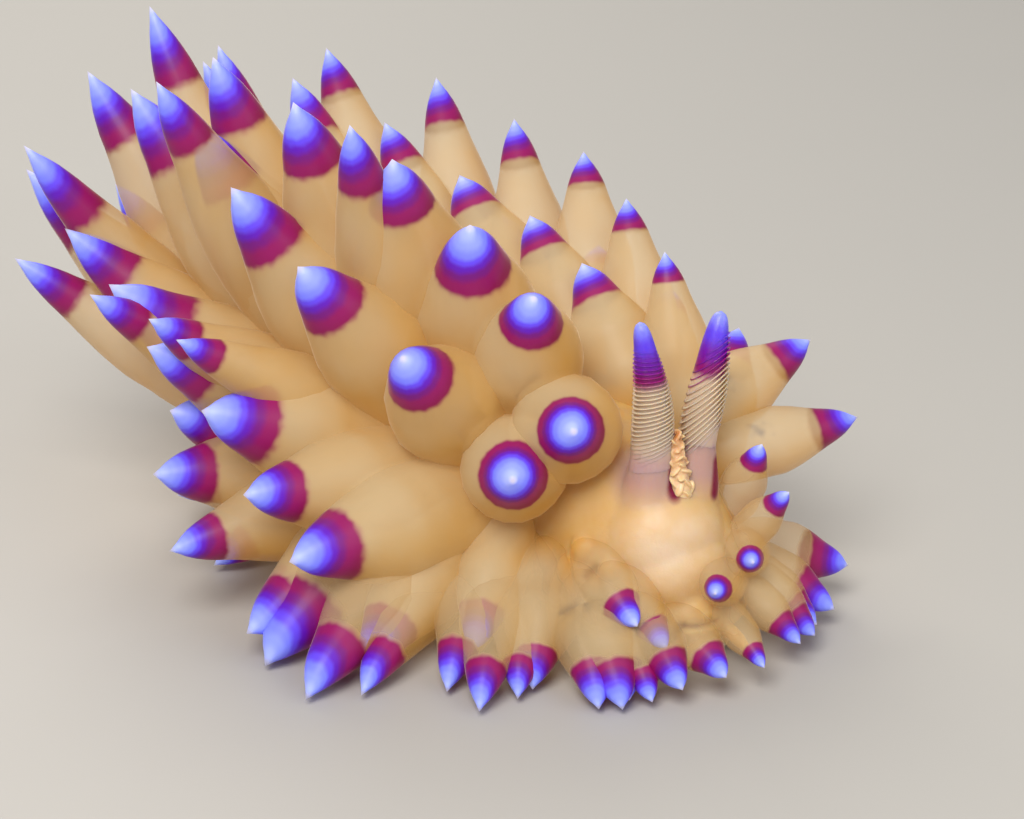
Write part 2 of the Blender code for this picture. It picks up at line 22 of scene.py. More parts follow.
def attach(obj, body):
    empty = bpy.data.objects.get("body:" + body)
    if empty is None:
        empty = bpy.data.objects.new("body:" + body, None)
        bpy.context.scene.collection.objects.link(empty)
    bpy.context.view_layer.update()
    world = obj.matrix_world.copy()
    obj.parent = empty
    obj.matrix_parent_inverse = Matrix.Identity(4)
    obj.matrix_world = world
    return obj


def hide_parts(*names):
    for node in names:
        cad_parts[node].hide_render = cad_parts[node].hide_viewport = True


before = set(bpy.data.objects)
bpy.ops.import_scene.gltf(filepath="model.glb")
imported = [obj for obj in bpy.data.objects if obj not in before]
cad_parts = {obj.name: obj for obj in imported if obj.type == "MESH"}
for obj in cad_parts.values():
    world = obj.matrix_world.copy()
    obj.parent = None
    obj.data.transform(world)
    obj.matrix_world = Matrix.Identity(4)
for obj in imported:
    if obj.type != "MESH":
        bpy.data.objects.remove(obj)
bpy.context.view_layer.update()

MM = 0.001
UP = Vector((0.0, 0.0, 1.0))
log = logging.getLogger("sea slug")


class Side(Enum):
    """A side of the body, as the sign of its distance to the left."""

    RIGHT = -1
    LEFT = 1


class Slot(Enum):
    """The record's material slots."""

    FLESH = "flesh"
    GILLS = "gills"
    FEELERS = "feelers"
    CARUNCLE = "caruncle"


class Graph:
    """Adds nodes to a node tree, each with its settings and inputs in one call."""

    def __init__(self, tree: NodeTree) -> None:
        """Start on a tree that holds nothing that matters."""
        self.tree = tree
        tree.nodes.clear()

    def node(self, kind: str, settings: dict | None = None, inputs: dict | None = None) -> Node:
        """Add one node.

        Args:
            kind: The node's type.
            settings: Values of its properties, with a ramp's stops and a curve's points among them.
            inputs: Values or links of its sockets, by name, identifier or number.

        Returns:
            The new node.
        """
        made = self.tree.nodes.new(kind)
        for name, value in (settings or {}).items():
            if name == "stops":
                self._set_stops(made.color_ramp, value)
            elif name == "points":
                self._set_points(made.mapping, value)
            else:
                setattr(made, name, value)
        for key, value in (inputs or {}).items():
            self._feed(self._socket(made.inputs, key), value)
        return made

    def value(self, kind: str, settings: dict | None = None, inputs: dict | None = None,
              output: str | int = 0) -> "Value":
        """Add one node and wrap one of its outputs.

        Args:
            kind: The node's type.
            settings: Values of its properties.
            inputs: Values or links of its sockets.
            output: The name or number of the output.

        Returns:
            The wrapped output.
        """
        return Value(self, self._socket(self.node(kind, settings, inputs).outputs, output))

    def attribute(self, name: str) -> "Value":
        """Return a number attribute of the surface."""
        return self.value("ShaderNodeAttribute", {"attribute_name": name}, output="Fac")

    def noise(self, scale: float, detail: float = 2.0, roughness: float = 0.5) -> "Value":
        """Return noise from 0 to 1 on Object coordinates.

        Args:
            scale: Waves in a metre.
            detail: Finer layers.
            roughness: The strength of the finer layers.

        Returns:
            The noise.
        """
        place = self.value("ShaderNodeTexCoord", output="Object")
        inputs = {"Vector": place, "Scale": scale, "Detail": detail, "Roughness": roughness}
        return self.value("ShaderNodeTexNoise", {}, inputs)

    def mix(self, share: "Value | float", first: object, second: object) -> "Value":
        """Mix two colours.

        Args:
            share: The second colour's share, from 0 to 1.
            first: A colour or a link.
            second: A colour or a link.

        Returns:
            The mixed colour.
        """
        inputs = {"Factor_Float": share, "A_Color": first, "B_Color": second}
        return self.value("ShaderNodeMix", {"data_type": "RGBA"}, inputs, "Result_Color")

    def bump(self, height: "Value", depth: float) -> "Value":
        """Return a normal raised by a height.

        Args:
            height: The height's share.
            depth: The height of a share of 1, in metres.

        Returns:
            The normal.
        """
        return self.value("ShaderNodeBump", {}, {"Height": height, "Distance": depth, "Strength": 1.0})

    @staticmethod
    def _socket(sockets: object, key: str | int) -> NodeSocket:
        """Return a socket by number, identifier or name."""
        if isinstance(key, int):
            return sockets[key]
        return next((socket for socket in sockets if socket.identifier == key), None) or sockets[key]

    def _feed(self, socket: NodeSocket, value: object) -> None:
        """Link a value to a socket, or set it there."""
        if isinstance(value, Value):
            self.tree.links.new(value.socket, socket)
        elif isinstance(value, NodeSocket):
            self.tree.links.new(value, socket)
        elif isinstance(value, tuple) and len(value) == 3 and len(socket.default_value) == 4:
            socket.default_value = (*value, 1.0)
        else:
            socket.default_value = value

    @staticmethod
    def _set_stops(ramp: ColorRamp, stops: tuple) -> None:
        """Set a ramp's stops, each a place and a colour."""
        ramp.interpolation = "EASE"
        while len(ramp.elements) < len(stops):
            ramp.elements.new(1.0)
        for element, (place, colour) in zip(ramp.elements, stops):
            element.position = place
            element.color = (*colour, 1.0)

    @staticmethod
    def _set_points(mapping: CurveMapping, points: tuple) -> None:
        """Set a number curve's points, each an input and an output."""
        curve = mapping.curves[0]
        while len(curve.points) < len(points):
            curve.points.new(0.5, 0.5)
        for point, place in zip(curve.points, points):
            point.location = place
            point.handle_type = "AUTO_CLAMPED"
        mapping.update()


class Value:
    """A socket that takes part in Python sums, each of which adds its Math node."""

    def __init__(self, graph: Graph, socket: NodeSocket) -> None:
        """Wrap a socket."""
        self.graph = graph
        self.socket = socket

    def _math(self, operation: str, *terms: object) -> "Value":
        """Add a Math node on some terms."""
        return self.graph.value("ShaderNodeMath", {"operation": operation}, dict(enumerate(terms)))

    def __add__(self, other: object) -> "Value":
        """Return the sum."""
        return self._math("ADD", self, other)

    def __sub__(self, other: object) -> "Value":
        """Return the difference."""
        return self._math("SUBTRACT", self, other)

    def __rsub__(self, other: object) -> "Value":
        """Return the difference from another value."""
        return self._math("SUBTRACT", other, self)

    def __mul__(self, other: object) -> "Value":
        """Return the product."""
        return self._math("MULTIPLY", self, other)

    def __truediv__(self, other: object) -> "Value":
        """Return the quotient."""
        return self._math("DIVIDE", self, other)

    __radd__ = __add__

    def distance(self, place: float) -> "Value":
        """Return how far the value is from a place."""
        return self._math("ABSOLUTE", self - place)

    def step(self, low: float, high: float) -> "Value":
        """Return a smooth rise from 0 at one value to 1 at another.

        Args:
            low: The value that gives 0.
            high: The value that gives 1, which may be the lower one.

        Returns:
            The share.
        """
        inputs = {"Value": self, "From Min": low, "From Max": high}
        return self.graph.value("ShaderNodeMapRange", {"interpolation_type": "SMOOTHSTEP"}, inputs)


def new_material(name: str) -> tuple[Material, Graph]:
    """Return an empty material and its graph."""
    made = bpy.data.materials.new(name)
    made.use_nodes = True
    return made, Graph(made.node_tree)


@dataclass(frozen=True)
class WetSkin:
    """The gloss and depth that all of the slug's wet skin has, and the strength of a painted glow of its
    own colour where one is set.
    """

    roughness: float = 0.40
    coat: float = 0.22
    coat_roughness: float = 0.16
    glow: float = 0.8
    depth: float = 1.1 * MM
    tint: tuple = (1.0, 0.62, 0.30)
    # The strength of a painted glow: the skin gives out light of its own colour, as if lit from within.
    painted_glow: float = 0.0
    rim: float = 0.0
    rim_tint: tuple = (1.0, 0.88, 0.72)

    def finish(self, graph: Graph, colour: Value, alpha: object = 1.0, normal: Value | None = None) -> None:
        """Add the shader and the output.

        Args:
            graph: The material's graph.
            colour: The skin's colour.
            alpha: How solid the skin is.
            normal: The surface's normal, where it isn't plain.
        """
        # The emission of the skin's own colour is a painted glow.
        inputs = {"Base Color": colour, "Roughness": self.roughness, "Alpha": alpha,
                  "Subsurface Weight": self.glow, "Subsurface Scale": self.depth,
                  "Subsurface Radius": self.tint, "Coat Weight": self.coat,
                  "Coat Roughness": self.coat_roughness, "IOR": 1.38,
                  "Sheen Weight": self.rim, "Sheen Roughness": 0.25, "Sheen Tint": self.rim_tint,
                  "Emission Color": colour, "Emission Strength": self.painted_glow}
        if normal is not None:
            inputs["Normal"] = normal
        shader = graph.node("ShaderNodeBsdfPrincipled", {}, inputs)
        graph.node("ShaderNodeOutputMaterial", {}, {"Surface": shader.outputs[0]})


@dataclass(frozen=True)
class GillFinish:
    """Clear amber skin with a cap of crimson, violet and blue that ends in a clear spike; the side facing
    the key light is painted paler and bluer, and a faint painted glow is added.
    """

    name: str = "Gill_skin"
    amber: tuple = (0.60, 0.32, 0.06)
    beige: tuple = (0.58, 0.46, 0.275)
    spike: tuple = (0.62, 0.60, 0.80)
    smudge: tuple = (0.13, 0.13, 0.13)
    # The cap's bands from crimson at its base to blue; the palest stops are reached mostly on the side
    # facing the key light, as a painted highlight.
    cap_stops: tuple = (
        (0.0, (0.20, 0.002, 0.04)),
        (0.25, (0.24, 0.001, 0.09)),
        (0.38, (0.15, 0.001, 0.17)),
        (0.49, (0.10, 0.004, 0.42)),
        (0.58, (0.11, 0.05, 0.74)),
        (0.67, (0.17, 0.19, 0.91)),
        (0.78, (0.24, 0.29, 0.93)),
        (0.92, (0.36, 0.43, 0.94)),
    )
    cap_edge: tuple = (-0.08, 0.07)
    tip_edge: tuple = (0.88, 0.99)
    solid: float = 0.62
    solid_cap: float = 0.985
    # The gills have a faint painted glow of their own colour.
    skin: WetSkin = WetSkin(0.5, 0.07, 0.22, glow=0.0, painted_glow=0.18, rim=0.35)

    def make(self) -> Material:
        """Return the material."""
        made, graph = new_material(self.name)
        labels = ("share", "cap", "tone", "clear", "upper", "cloud")
        share, cap, tone, clear, upper, cloud = [graph.attribute(label) for label in labels]
        fine = graph.noise(2100, 0) - 0.5
        into_cap = (share - cap) / (1 - cap)
        pigment = (into_cap + fine * 0.07).step(*self.cap_edge)
        tip = into_cap.step(*self.tip_edge)
        # Paler beige on the side that faces the key light, as painted light, mixed with random tone from
        # the cloud, away from the root.
        lit_and_cloudy_pallor = share.step(0.06, 0.34) * (upper.step(0.0, 0.95) * 0.75 + cloud.step(0.25, 0.62) * 0.25)
        flesh = graph.mix(lit_and_cloudy_pallor * 0.9, self.amber, self.beige)
        spot = share.distance(0.46).step(0.09, 0.0) * (upper + fine * 0.25).step(0.80, 1.0)
        flesh = graph.mix(spot * tone.step(0.55, 0.60) * 0.75, flesh, self.smudge)
        # The place on the cap ramp: the cap's own bands from crimson to blue along its length, plus painted
        # light that makes the side facing the key light bluer and paler.
        blue = into_cap * 0.90 + upper.step(-0.5, 0.95) * 0.26 + fine * 0.04 - 0.135
        ramp = graph.value("ShaderNodeValToRGB", {"stops": self.cap_stops}, {"Fac": blue})
        colour = graph.mix(tip, graph.mix(pigment, flesh, ramp), self.spike)
        body = self.solid - clear * 0.30 - cloud * 0.10
        alpha = body + pigment * (self.solid_cap - body)
        self.skin.finish(graph, colour, alpha * (1 - tip * 0.2))
        return made


@dataclass(frozen=True)
class FleshFinish:
    """Amber flesh, cream on the head with a painted glow on the brow, brown on the back and pale on the
    foot.
    """

    name: str = "Body_skin"
    amber: tuple = (0.62, 0.36, 0.10)
    cream: tuple = (0.74, 0.58, 0.42)
    brown: tuple = (0.36, 0.20, 0.10)
    pale: tuple = (0.68, 0.53, 0.32)
    lilac: tuple = (0.44, 0.26, 0.24)
    crimson: tuple = (0.20, 0.0, 0.035)
    skin: WetSkin = WetSkin(depth=1.6 * MM, roughness=0.45, coat=0.10, coat_roughness=0.35)

    def make(self) -> Material:
        """Return the material."""
        made, graph = new_material(self.name)
        labels = ("station", "height", "stalk", "streak", "brow")
        station, height, stalk, streak, brow = [graph.attribute(label) for label in labels]
        cloud, fine = graph.noise(330, 3, 0.55), graph.noise(2600, 4, 0.6)
        top = height.step(6.0, 9.5)
        colour = graph.mix(cloud.step(0.35, 0.7) * 0.35, self.amber, self.pale)
        colour = graph.mix(top * station.step(0.12, 0.3) * cloud.step(0.3, 0.75) * 0.75, colour, self.brown)
        # Cream on the brow: partly the head's own colour and partly a painted glow where the light falls.
        colour = graph.mix(brow * (0.6 + cloud.step(0.3, 0.6) * 0.4), colour, self.cream)
        colour = graph.mix(height.step(1.6, 0.4) * 0.8, colour, self.pale)
        colour = graph.mix(stalk * 0.9, colour, self.lilac)
        colour = graph.mix(streak, colour, self.crimson)
        self.skin.finish(graph, colour, 1.0, graph.bump(fine, 0.03 * MM))
        return made


@dataclass(frozen=True)
class FeelerFinish:
    """Cream ridges over a lilac foot, with a violet top and a blue tip."""

    name: str = "Feeler_skin"
    stops: tuple = (
        (0.0, (0.44, 0.26, 0.24)),
        (0.22, (0.48, 0.30, 0.29)),
        (0.36, (0.64, 0.46, 0.32)),
        (0.62, (0.66, 0.48, 0.33)),
        (0.69, (0.27, 0.004, 0.14)),
        (0.78, (0.17, 0.004, 0.36)),
        (0.88, (0.12, 0.05, 0.75)),
        (1.0, (0.26, 0.30, 0.95)),
    )
    skin: WetSkin = WetSkin(glow=0.6, depth=0.6 * MM)

    def make(self) -> Material:
        """Return the material."""
        made, graph = new_material(self.name)
        share = graph.attribute("share")
        feather = (graph.noise(5000, 2) - 0.5) * 0.03
        colour = graph.value("ShaderNodeValToRGB", {"stops": self.stops}, {"Fac": share + feather})
        self.skin.finish(graph, colour, 1.0, graph.bump(graph.noise(3800, 3), 0.02 * MM))
        return made


@dataclass(frozen=True)
class CaruncleFinish:
    """Cream-orange ruffles, deeper in the folds."""

    name: str = "Caruncle_skin"
    cream: tuple = (0.76, 0.52, 0.28)
    orange: tuple = (0.52, 0.22, 0.07)
    skin: WetSkin = WetSkin(glow=0.6, depth=0.4 * MM)

    def make(self) -> Material:
        """Return the material."""
        made, graph = new_material(self.name)
        fold = graph.attribute("fold")
        colour = graph.mix(fold.step(0.75, 0.15), self.cream, self.orange)
        self.skin.finish(graph, colour, 1.0, graph.bump(graph.noise(4200, 3), 0.03 * MM))
        return made


@dataclass(frozen=True)
class FloorFinish:
    """A plain pale floor with the faintest unevenness."""

    name: str = "Pale_floor"
    colour: tuple = (0.44, 0.42, 0.385)

    def make(self) -> Material:
        """Return the material."""
        made, graph = new_material(self.name)
        inputs = {"Base Color": self.colour, "Roughness": graph.noise(90, 2) * 0.1 + 0.6}
        shader = graph.node("ShaderNodeBsdfPrincipled", {}, inputs)
        graph.node("ShaderNodeOutputMaterial", {}, {"Surface": shader.outputs[0]})
        return made


@dataclass(frozen=True)
class BodyLine:
    """The bend of the body and its width and height, as the solids have them."""

    bend_radius: float = 37.46
    bend_start: float = math.radians(-23.4)
    bend_turn: float = math.radians(49.4)
    bend_middle: tuple = (-36.34, 0.0)
    stations: tuple = (0.0, 0.03, 0.08, 0.15, 0.25, 0.4, 0.6, 0.8, 0.92, 1.0)
    half_widths: tuple = (1.6, 3.2, 4.2, 4.8, 5.2, 5.8, 5.6, 4.5, 3.1, 1.6)
    top_heights: tuple = (3.6, 5.4, 7.6, 9.2, 10.2, 10.8, 10.8, 9.2, 6.8, 4.0)
    mantle_bottom: float = 1.7
    side_power: float = 0.8
    back_power: float = 0.9

    @property
    def length(self) -> float:
        """Return the length of the midline from station 0 to 1."""
        return self.bend_radius * self.bend_turn

    def leftward(self, station: float) -> Vector:
        """Return the level direction to the body's left."""
        turn = self.bend_start + self.bend_turn * station
        return Vector((math.cos(turn), math.sin(turn), 0.0))

    def tailward(self, station: float) -> Vector:
        """Return the level direction towards the tail."""
        return UP.cross(self.leftward(station))

    def place(self, station: float, across: float, height: float) -> Vector:
        """Return the point at a station, a distance to the left and a height."""
        middle = Vector((*self.bend_middle, height))
        return middle + (self.bend_radius + across) * self.leftward(station)

    def _smooth(self, values: tuple, station: float) -> float:
        """Return a smooth curve's value through the chosen stations."""
        last = len(self.stations) - 2
        i = max(j for j in range(last + 1) if j == 0 or self.stations[j] <= station)

        def slope(k: int) -> float:
            """Return the curve's slope at a chosen station."""
            a, b = max(k - 1, 0), min(k + 1, last + 1)
            return (values[b] - values[a]) / (self.stations[b] - self.stations[a])

        span = self.stations[i + 1] - self.stations[i]
        t = min(max((station - self.stations[i]) / span, 0.0), 1.0)
        start = (1 + 2 * t) * (1 - t) ** 2 * values[i] + t * (1 - t) ** 2 * span * slope(i)
        end = t * t * (3 - 2 * t) * values[i + 1] - t * t * (1 - t) * span * slope(i + 1)
        return start + end

    def half_width(self, station: float) -> float:
        """Return the body's half width at a station."""
        return self._smooth(self.half_widths, station)

    def top(self, station: float) -> float:
        """Return the height of the back at a station."""
        return self._smooth(self.top_heights, station)

    def flank(self, station: float, angle: float, side: Side) -> Vector:
        """Return the point of the body's surface at a height angle in degrees."""
        a = math.radians(angle)
        width = self.half_width(station) * max(math.cos(a), 0.0) ** self.side_power
        rise = (self.top(station) - self.mantle_bottom) * math.sin(a) ** self.back_power
        return self.place(station, side.value * width, self.mantle_bottom + rise)

    def heading(self, station: float, side: Side, sweep: float, pitch: float) -> Vector:
        """Return the direction that leans tailward by a sweep and up by a pitch, in degrees."""
        a, b = math.radians(sweep), math.radians(pitch)
        level = math.cos(a) * side.value * self.leftward(station) + math.sin(a) * self.tailward(station)
        return (math.cos(b) * level + math.sin(b) * UP).normalized()

    def stations_of(self, points: np.ndarray) -> np.ndarray:
        """Return the station of each point.

        Args:
            points: Points in millimetres, one in a row.

        Returns:
            The stations.
        """
        turn = np.arctan2(points[:, 1] - self.bend_middle[1], points[:, 0] - self.bend_middle[0])
        return (turn - self.bend_start) / self.bend_turn


LINE = BodyLine()
FLOOR_CLEARANCE = 0.42
ROOT_SINK = 1.5
LOOKS_SEED = 1000
ROLL_STEPS = 12
ROLL_END = 0.03
GOLDEN_TURN = 2.399963

# The side of a gill that faces the key light: its top side, turned a little to the animal's right. There
# the cap is painted bluer and paler and the body paler, as painted light.
LIT_SIDE = (-0.74, -0.10, 0.66)

# A gill's radius along its length, as a share of its half width.
GILL_PROFILE = ((0.0, 0.42), (0.10, 0.64), (0.2, 0.84), (0.32, 0.99), (0.43, 1.04), (0.54, 1.01),
                (0.63, 0.91), (0.70, 0.78), (0.76, 0.65), (0.81, 0.55), (0.86, 0.46), (0.91, 0.34),
                (0.945, 0.22), (0.97, 0.11), (1.0, 0.0))

# How far one gill of a row may differ from the next, and how much more one of the low fringe may.
SWEEP_PLAY = 2.0
PITCH_PLAY = 1.5
LENGTH_PLAY = (0.97, 1.03)
WIDTH_PLAY = (0.95, 1.12)
CAP_PLAY = (0.82, 1.08)
FRINGE_SWEEP = 9
FRINGE_LENGTH = (-0.16, 0.12)
FRINGE_WIDTH = (0.0, 0.4)


def three_way(values: tuple, u: float) -> float:
    """Return the value at u on the smooth curve through a front, middle and rear value."""
    front, middle, rear = values
    return front + (4 * middle - 3 * front - rear) * u + (2 * front - 4 * middle + 2 * rear) * u * u


@dataclass(frozen=True)
class Gill:
    """One leaf-shaped gill: its root, heading, length, width, droop and look."""

    root: Vector
    way: Vector
    length: float
    width: float
    curl: float
    sink: float
    cap: float
    clear: float
    tone: float

    @property
    def cap_start(self) -> float:
        """Return the share of the length at which the cap starts."""
        return 1 - self.cap / (self.length + self.sink)

    def radius(self, t: float) -> float:
        """Return the radius at a share t of the way from root to tip."""
        places, radii = zip(*GILL_PROFILE)
        return self.width / 2 * float(np.interp(t, places, radii))

    def point(self, t: float) -> Vector:
        """Return the middle of the gill at t, kept clear of the floor."""
        whole = self.length + self.sink
        upward = UP - UP.dot(self.way) * self.way
        lift = upward.normalized() if upward.length > 1e-3 else Vector((1.0, 0.0, 0.0))
        bend = lift * whole * math.tan(math.radians(self.curl)) * t * t / 2
        result = self.root + self.way * (whole * t - self.sink) + bend
        result.z = max(result.z, FLOOR_CLEARANCE + self.radius(t))
        return result


@dataclass(frozen=True)
class Row:
    """A row of gills along one side, with front, middle and rear values."""

    side: Side
    count: int
    stations: tuple
    angles: tuple
    sweeps: tuple
    pitches: tuple
    lengths: tuple
    widths: tuple
    caps: tuple
    curls: tuple = (6, 6, 6)
    sink: float = ROOT_SINK
    clear: float = 0.0
    lifts: tuple = ()
    spread: float = 0.0

    def gills(self, seed: int) -> list[Gill]:
        """Return the row's gills, each varied a little.

        Args:
            seed: The seed of the variation.

        Returns:
            The gills, front to rear.
        """
        draw = random.Random(seed)
        looks = random.Random(seed + LOOKS_SEED)
        result = []
        for i in range(self.count):
            u = i / (self.count - 1)
            station = self.stations[0] + (self.stations[1] - self.stations[0]) * u
            sweep = three_way(self.sweeps, u) + draw.uniform(-SWEEP_PLAY, SWEEP_PLAY)
            pitch = three_way(self.pitches, u) + draw.uniform(-PITCH_PLAY, PITCH_PLAY)
            pitch += self.lifts[i] if i < len(self.lifts) else 0.0
            length = three_way(self.lengths, u) * draw.uniform(*LENGTH_PLAY)
            root = LINE.flank(station, three_way(self.angles, u), self.side)
            width = three_way(self.widths, u) * looks.uniform(*WIDTH_PLAY)
            cap = three_way(self.caps, u) * looks.uniform(*CAP_PLAY)
            sweep += self.spread * looks.uniform(-FRINGE_SWEEP, FRINGE_SWEEP)
            way = LINE.heading(station, self.side, sweep, pitch)
            length *= 1 + self.spread * looks.uniform(*FRINGE_LENGTH)
            width *= 1 + self.spread * looks.uniform(*FRINGE_WIDTH)
            result.append(Gill(root, way, length, width, three_way(self.curls, u), self.sink, cap,
                               self.clear, looks.random()))
        return result


DROOP = (-6, -4, 6)
HANG = (-14, -12, -4)
RIGHT_ROWS = (
    Row(Side.RIGHT, 7, (0.31, 0.92), (68, 66, 58), (-58, -18, 95), (19, 62, 62),
        (7.7, 15, 23), (5.2, 5.8, 5.0), (2.4, 3.7, 4.8), lifts=(0, 12, 8, 2)),
    Row(Side.RIGHT, 3, (0.66, 0.97), (56, 52, 40), (-15, 30, 58), (64, 60, 50),
        (19, 22, 22), (4.8, 4.6, 4.2), (3.8, 4.2, 5)),
    Row(Side.RIGHT, 7, (0.36, 0.93), (42, 46, 44), (-50, 34, 92), (13, 52, 50),
        (8, 16.5, 22.5), (5.0, 6.2, 5.0), (2.4, 3.8, 5), lifts=(0, 11, 4)),
    Row(Side.RIGHT, 4, (0.62, 0.95), (34, 32, 28), (20, 32, 62), (30, 33, 35),
        (16, 16.5, 19), (4.2, 4.4, 4.0), (3, 3.4, 4.8)),
    Row(Side.RIGHT, 7, (0.40, 0.95), (26, 28, 28), (-4, 34, 78), (-2, 27, 42),
        (13.4, 14.8, 20.5), (5.4, 5.8, 4.8), (3.3, 3.8, 5.2)),
    Row(Side.RIGHT, 6, (0.34, 0.80), (20, 16, 16), (-43, 6, 30), (-22, -4, 26),
        (9, 14, 13), (3.6, 4.6, 4.2), (2.7, 3.2, 3.2), DROOP, ROOT_SINK, 0.3, spread=0.5),
    Row(Side.RIGHT, 7, (0.22, 0.52), (12, 12, 12), (-57, -37, -5), (-16, -17, -14),
        (9, 12.5, 16), (2.8, 3.4, 4.4), (2.0, 2.8, 4.0), HANG, ROOT_SINK, 0.6, spread=0.8),
    Row(Side.RIGHT, 3, (0.62, 0.86), (10, 10, 10), (10, 25, 48), (-12, -10, -4),
        (11, 10, 8.5), (3.4, 3.4, 3.2), (2.8, 2.8, 2.6), HANG),
)
LEFT_ROWS = (
    Row(Side.LEFT, 6, (0.30, 0.92), (68, 66, 58), (88, 72, 70), (44, 42, 58),
        (8.2, 12, 20), (4.4, 4.8, 4.4), (2.2, 2.8, 4.2)),
    Row(Side.LEFT, 7, (0.22, 0.90), (50, 50, 48), (82, 52, 80), (67, 49, 54),
        (10, 14.3, 20), (3.8, 4.6, 4.4), (1.9, 2.6, 4)),
    Row(Side.LEFT, 2, (0.19, 0.24), (50, 55, 60), (-18, -14, -10), (6, 14, 24),
        (8.6, 8.7, 8.8), (3.6, 3.7, 3.8), (2.8, 2.7, 2.6)),
    Row(Side.LEFT, 7, (0.24, 0.99), (31, 30, 30), (38, 50, 82), (30, 30, 38),
        (9, 12, 17), (4.0, 4.8, 4.0), (2.5, 2.8, 4.2)),
    Row(Side.LEFT, 6, (0.25, 0.95), (16, 16, 16), (62, 45, 74), (10, 6, 14),
        (7, 12, 12), (3.2, 4.4, 3.6), (2.4, 2.8, 3.2)),
    Row(Side.LEFT, 8, (0.24, 0.86), (10, 10, 10), (64, 35, 48), (-12, -10, -4),
        (7, 11, 9), (3.0, 3.8, 3.2), (2.2, 2.8, 2.6), HANG, ROOT_SINK, 0.4),
)
HEAD_ROWS = (
    Row(Side.RIGHT, 6, (0.0, 0.15), (30, 14, 14), (-102, -88, -64), (-4, -20, -23),
        (5.0, 6.6, 8.6), (2.0, 2.4, 2.8), (1.7, 2.0, 2.1), HANG, 1.0, 0.8, spread=1.0),
    Row(Side.LEFT, 6, (0.0, 0.14), (36, 15, 12), (-84, -62, -32), (-6, -18, -12),
        (4.6, 5.0, 7.0), (1.8, 2.0, 2.7), (1.5, 1.8, 2.6), HANG, 1.0, 0.7, spread=0.8),
    Row(Side.RIGHT, 2, (0.06, 0.12), (30, 28, 26), (-100, -94, -88), (-18, -18, -18),
        (4.6, 5, 5.4), (2.4, 2.6, 2.8), (1.5, 1.8, 1.9), DROOP, 1.2, 0.9),
    Row(Side.LEFT, 2, (0.02, 0.07), (50, 40, 30), (-126, -118, -111), (18, 14, 12),
        (3.8, 3.9, 4.0), (2.2, 2.4, 2.4), (1.2, 1.2, 1.2), DROOP, 1.2, 0.9),
    Row(Side.LEFT, 2, (0.08, 0.13), (30, 31, 32), (-61, -64, -67), (58, 60, 62),
        (4.5, 4.6, 4.8), (2.2, 2.2, 2.2), (1.3, 1.3, 1.3), DROOP, 1.1, 0.5),
)


def new_object(name: str, mesh: Mesh) -> Object:
    """Return a new object at the origin."""
    made = bpy.data.objects.new(name, mesh)
    bpy.context.scene.collection.objects.link(made)
    return made


def evaluated_mesh(source: Object) -> Mesh:
    """Return a plain mesh of an object as its modifiers leave it, and remove the object."""
    bpy.context.view_layer.update()
    graph = bpy.context.evaluated_depsgraph_get()
    result = bpy.data.meshes.new_from_object(source.evaluated_get(graph))
    source.modifiers.clear()
    bpy.data.objects.remove(source, do_unlink=True)
    return result


def face_outwards(mesh: Mesh) -> None:
    """Turn a mesh's faces outwards and shade it smooth."""
    shape = bmesh.new()
    shape.from_mesh(mesh)
    bmesh.ops.recalc_face_normals(shape, faces=shape.faces[:])
    shape.to_mesh(mesh)
    shape.free()
    mesh.shade_smooth()


def joined_skin(name: str, shape: BMesh, voxel: float, smoothing: int) -> Mesh:
    """Join overlapping closed forms into one smooth skin.

    Args:
        name: The new mesh's name.
        shape: The forms, in millimetres, which are used up.
        voxel: The size of the cells in which they are joined.
        smoothing: The rounds of smoothing.

    Returns:
        The skin, in millimetres.
    """
    rough = bpy.data.meshes.new("rough_" + name)
    shape.to_mesh(rough)
    shape.free()
    holder = new_object("rough_" + name, rough)
    joined = holder.modifiers.new("One skin", "REMESH")
    joined.mode = "VOXEL"
    joined.voxel_size = voxel
    soft = holder.modifiers.new("Soft", "SMOOTH")
    soft.factor, soft.iterations = 0.5, smoothing
    mesh = evaluated_mesh(holder)
    mesh.name = name
    return mesh


def dressed_skin(mesh: Mesh, finish: Material) -> Object:
    """Bring a skin from millimetres to metres and return its object, with its material."""
    mesh.transform(Matrix.Scale(MM, 4))
    face_outwards(mesh)
    mesh.materials.clear()
    mesh.materials.append(finish)
    return new_object(mesh.name, mesh)


def place_in_frame(piece: Object, slot: Slot, *nodes: str) -> None:
    """Let a piece ride on root in place of some of the solids, and log it."""
    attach(piece, "root")
    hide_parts(*nodes)
    log.info("%s: %d faces", piece.name, len(piece.data.polygons))


def points_of(mesh: Mesh) -> np.ndarray:
    """Return a mesh's points, one in a row."""
    flat = np.empty(len(mesh.vertices) * 3, np.float32)
    mesh.vertices.foreach_get("co", flat)
    return flat.reshape(-1, 3)


def set_numbers(mesh: Mesh, **numbers: "np.ndarray | list[float]") -> None:
    """Give each point of a mesh some numbers, each under its name."""
    for name, values in numbers.items():
        store = mesh.attributes.new(name, "FLOAT", "POINT")
        store.data.foreach_set("value", np.asarray(values, np.float32))


def nearness(distance: np.ndarray, start: float, reach: float) -> np.ndarray:
    """Return a share that falls from its start by 1 in each reach of distance, held from 0 to 1."""
    return np.clip(start - distance / reach, 0, 1)


def paths_mesh(name: str, paths: list[list[Vector]], numbers: dict[str, list[float]]) -> Mesh:
    """Write paths as chains of edges, in metres.

    Args:
        name: The mesh's name.
        paths: Points of each path, in millimetres.
        numbers: By name, one number for each path.

    Returns:
        The mesh.
    """
    points, edges, owner = [], [], []
    for k, path in enumerate(paths):
        start = len(points)
        points.extend(point * MM for point in path)
        edges.extend((start + i, start + i + 1) for i in range(len(path) - 1))
        owner.extend([k] * len(path))
    mesh = bpy.data.meshes.new(name)
    mesh.from_pydata(points, edges, [])
    set_numbers(mesh, **{label: np.array(values)[owner] for label, values in numbers.items()})
    return mesh


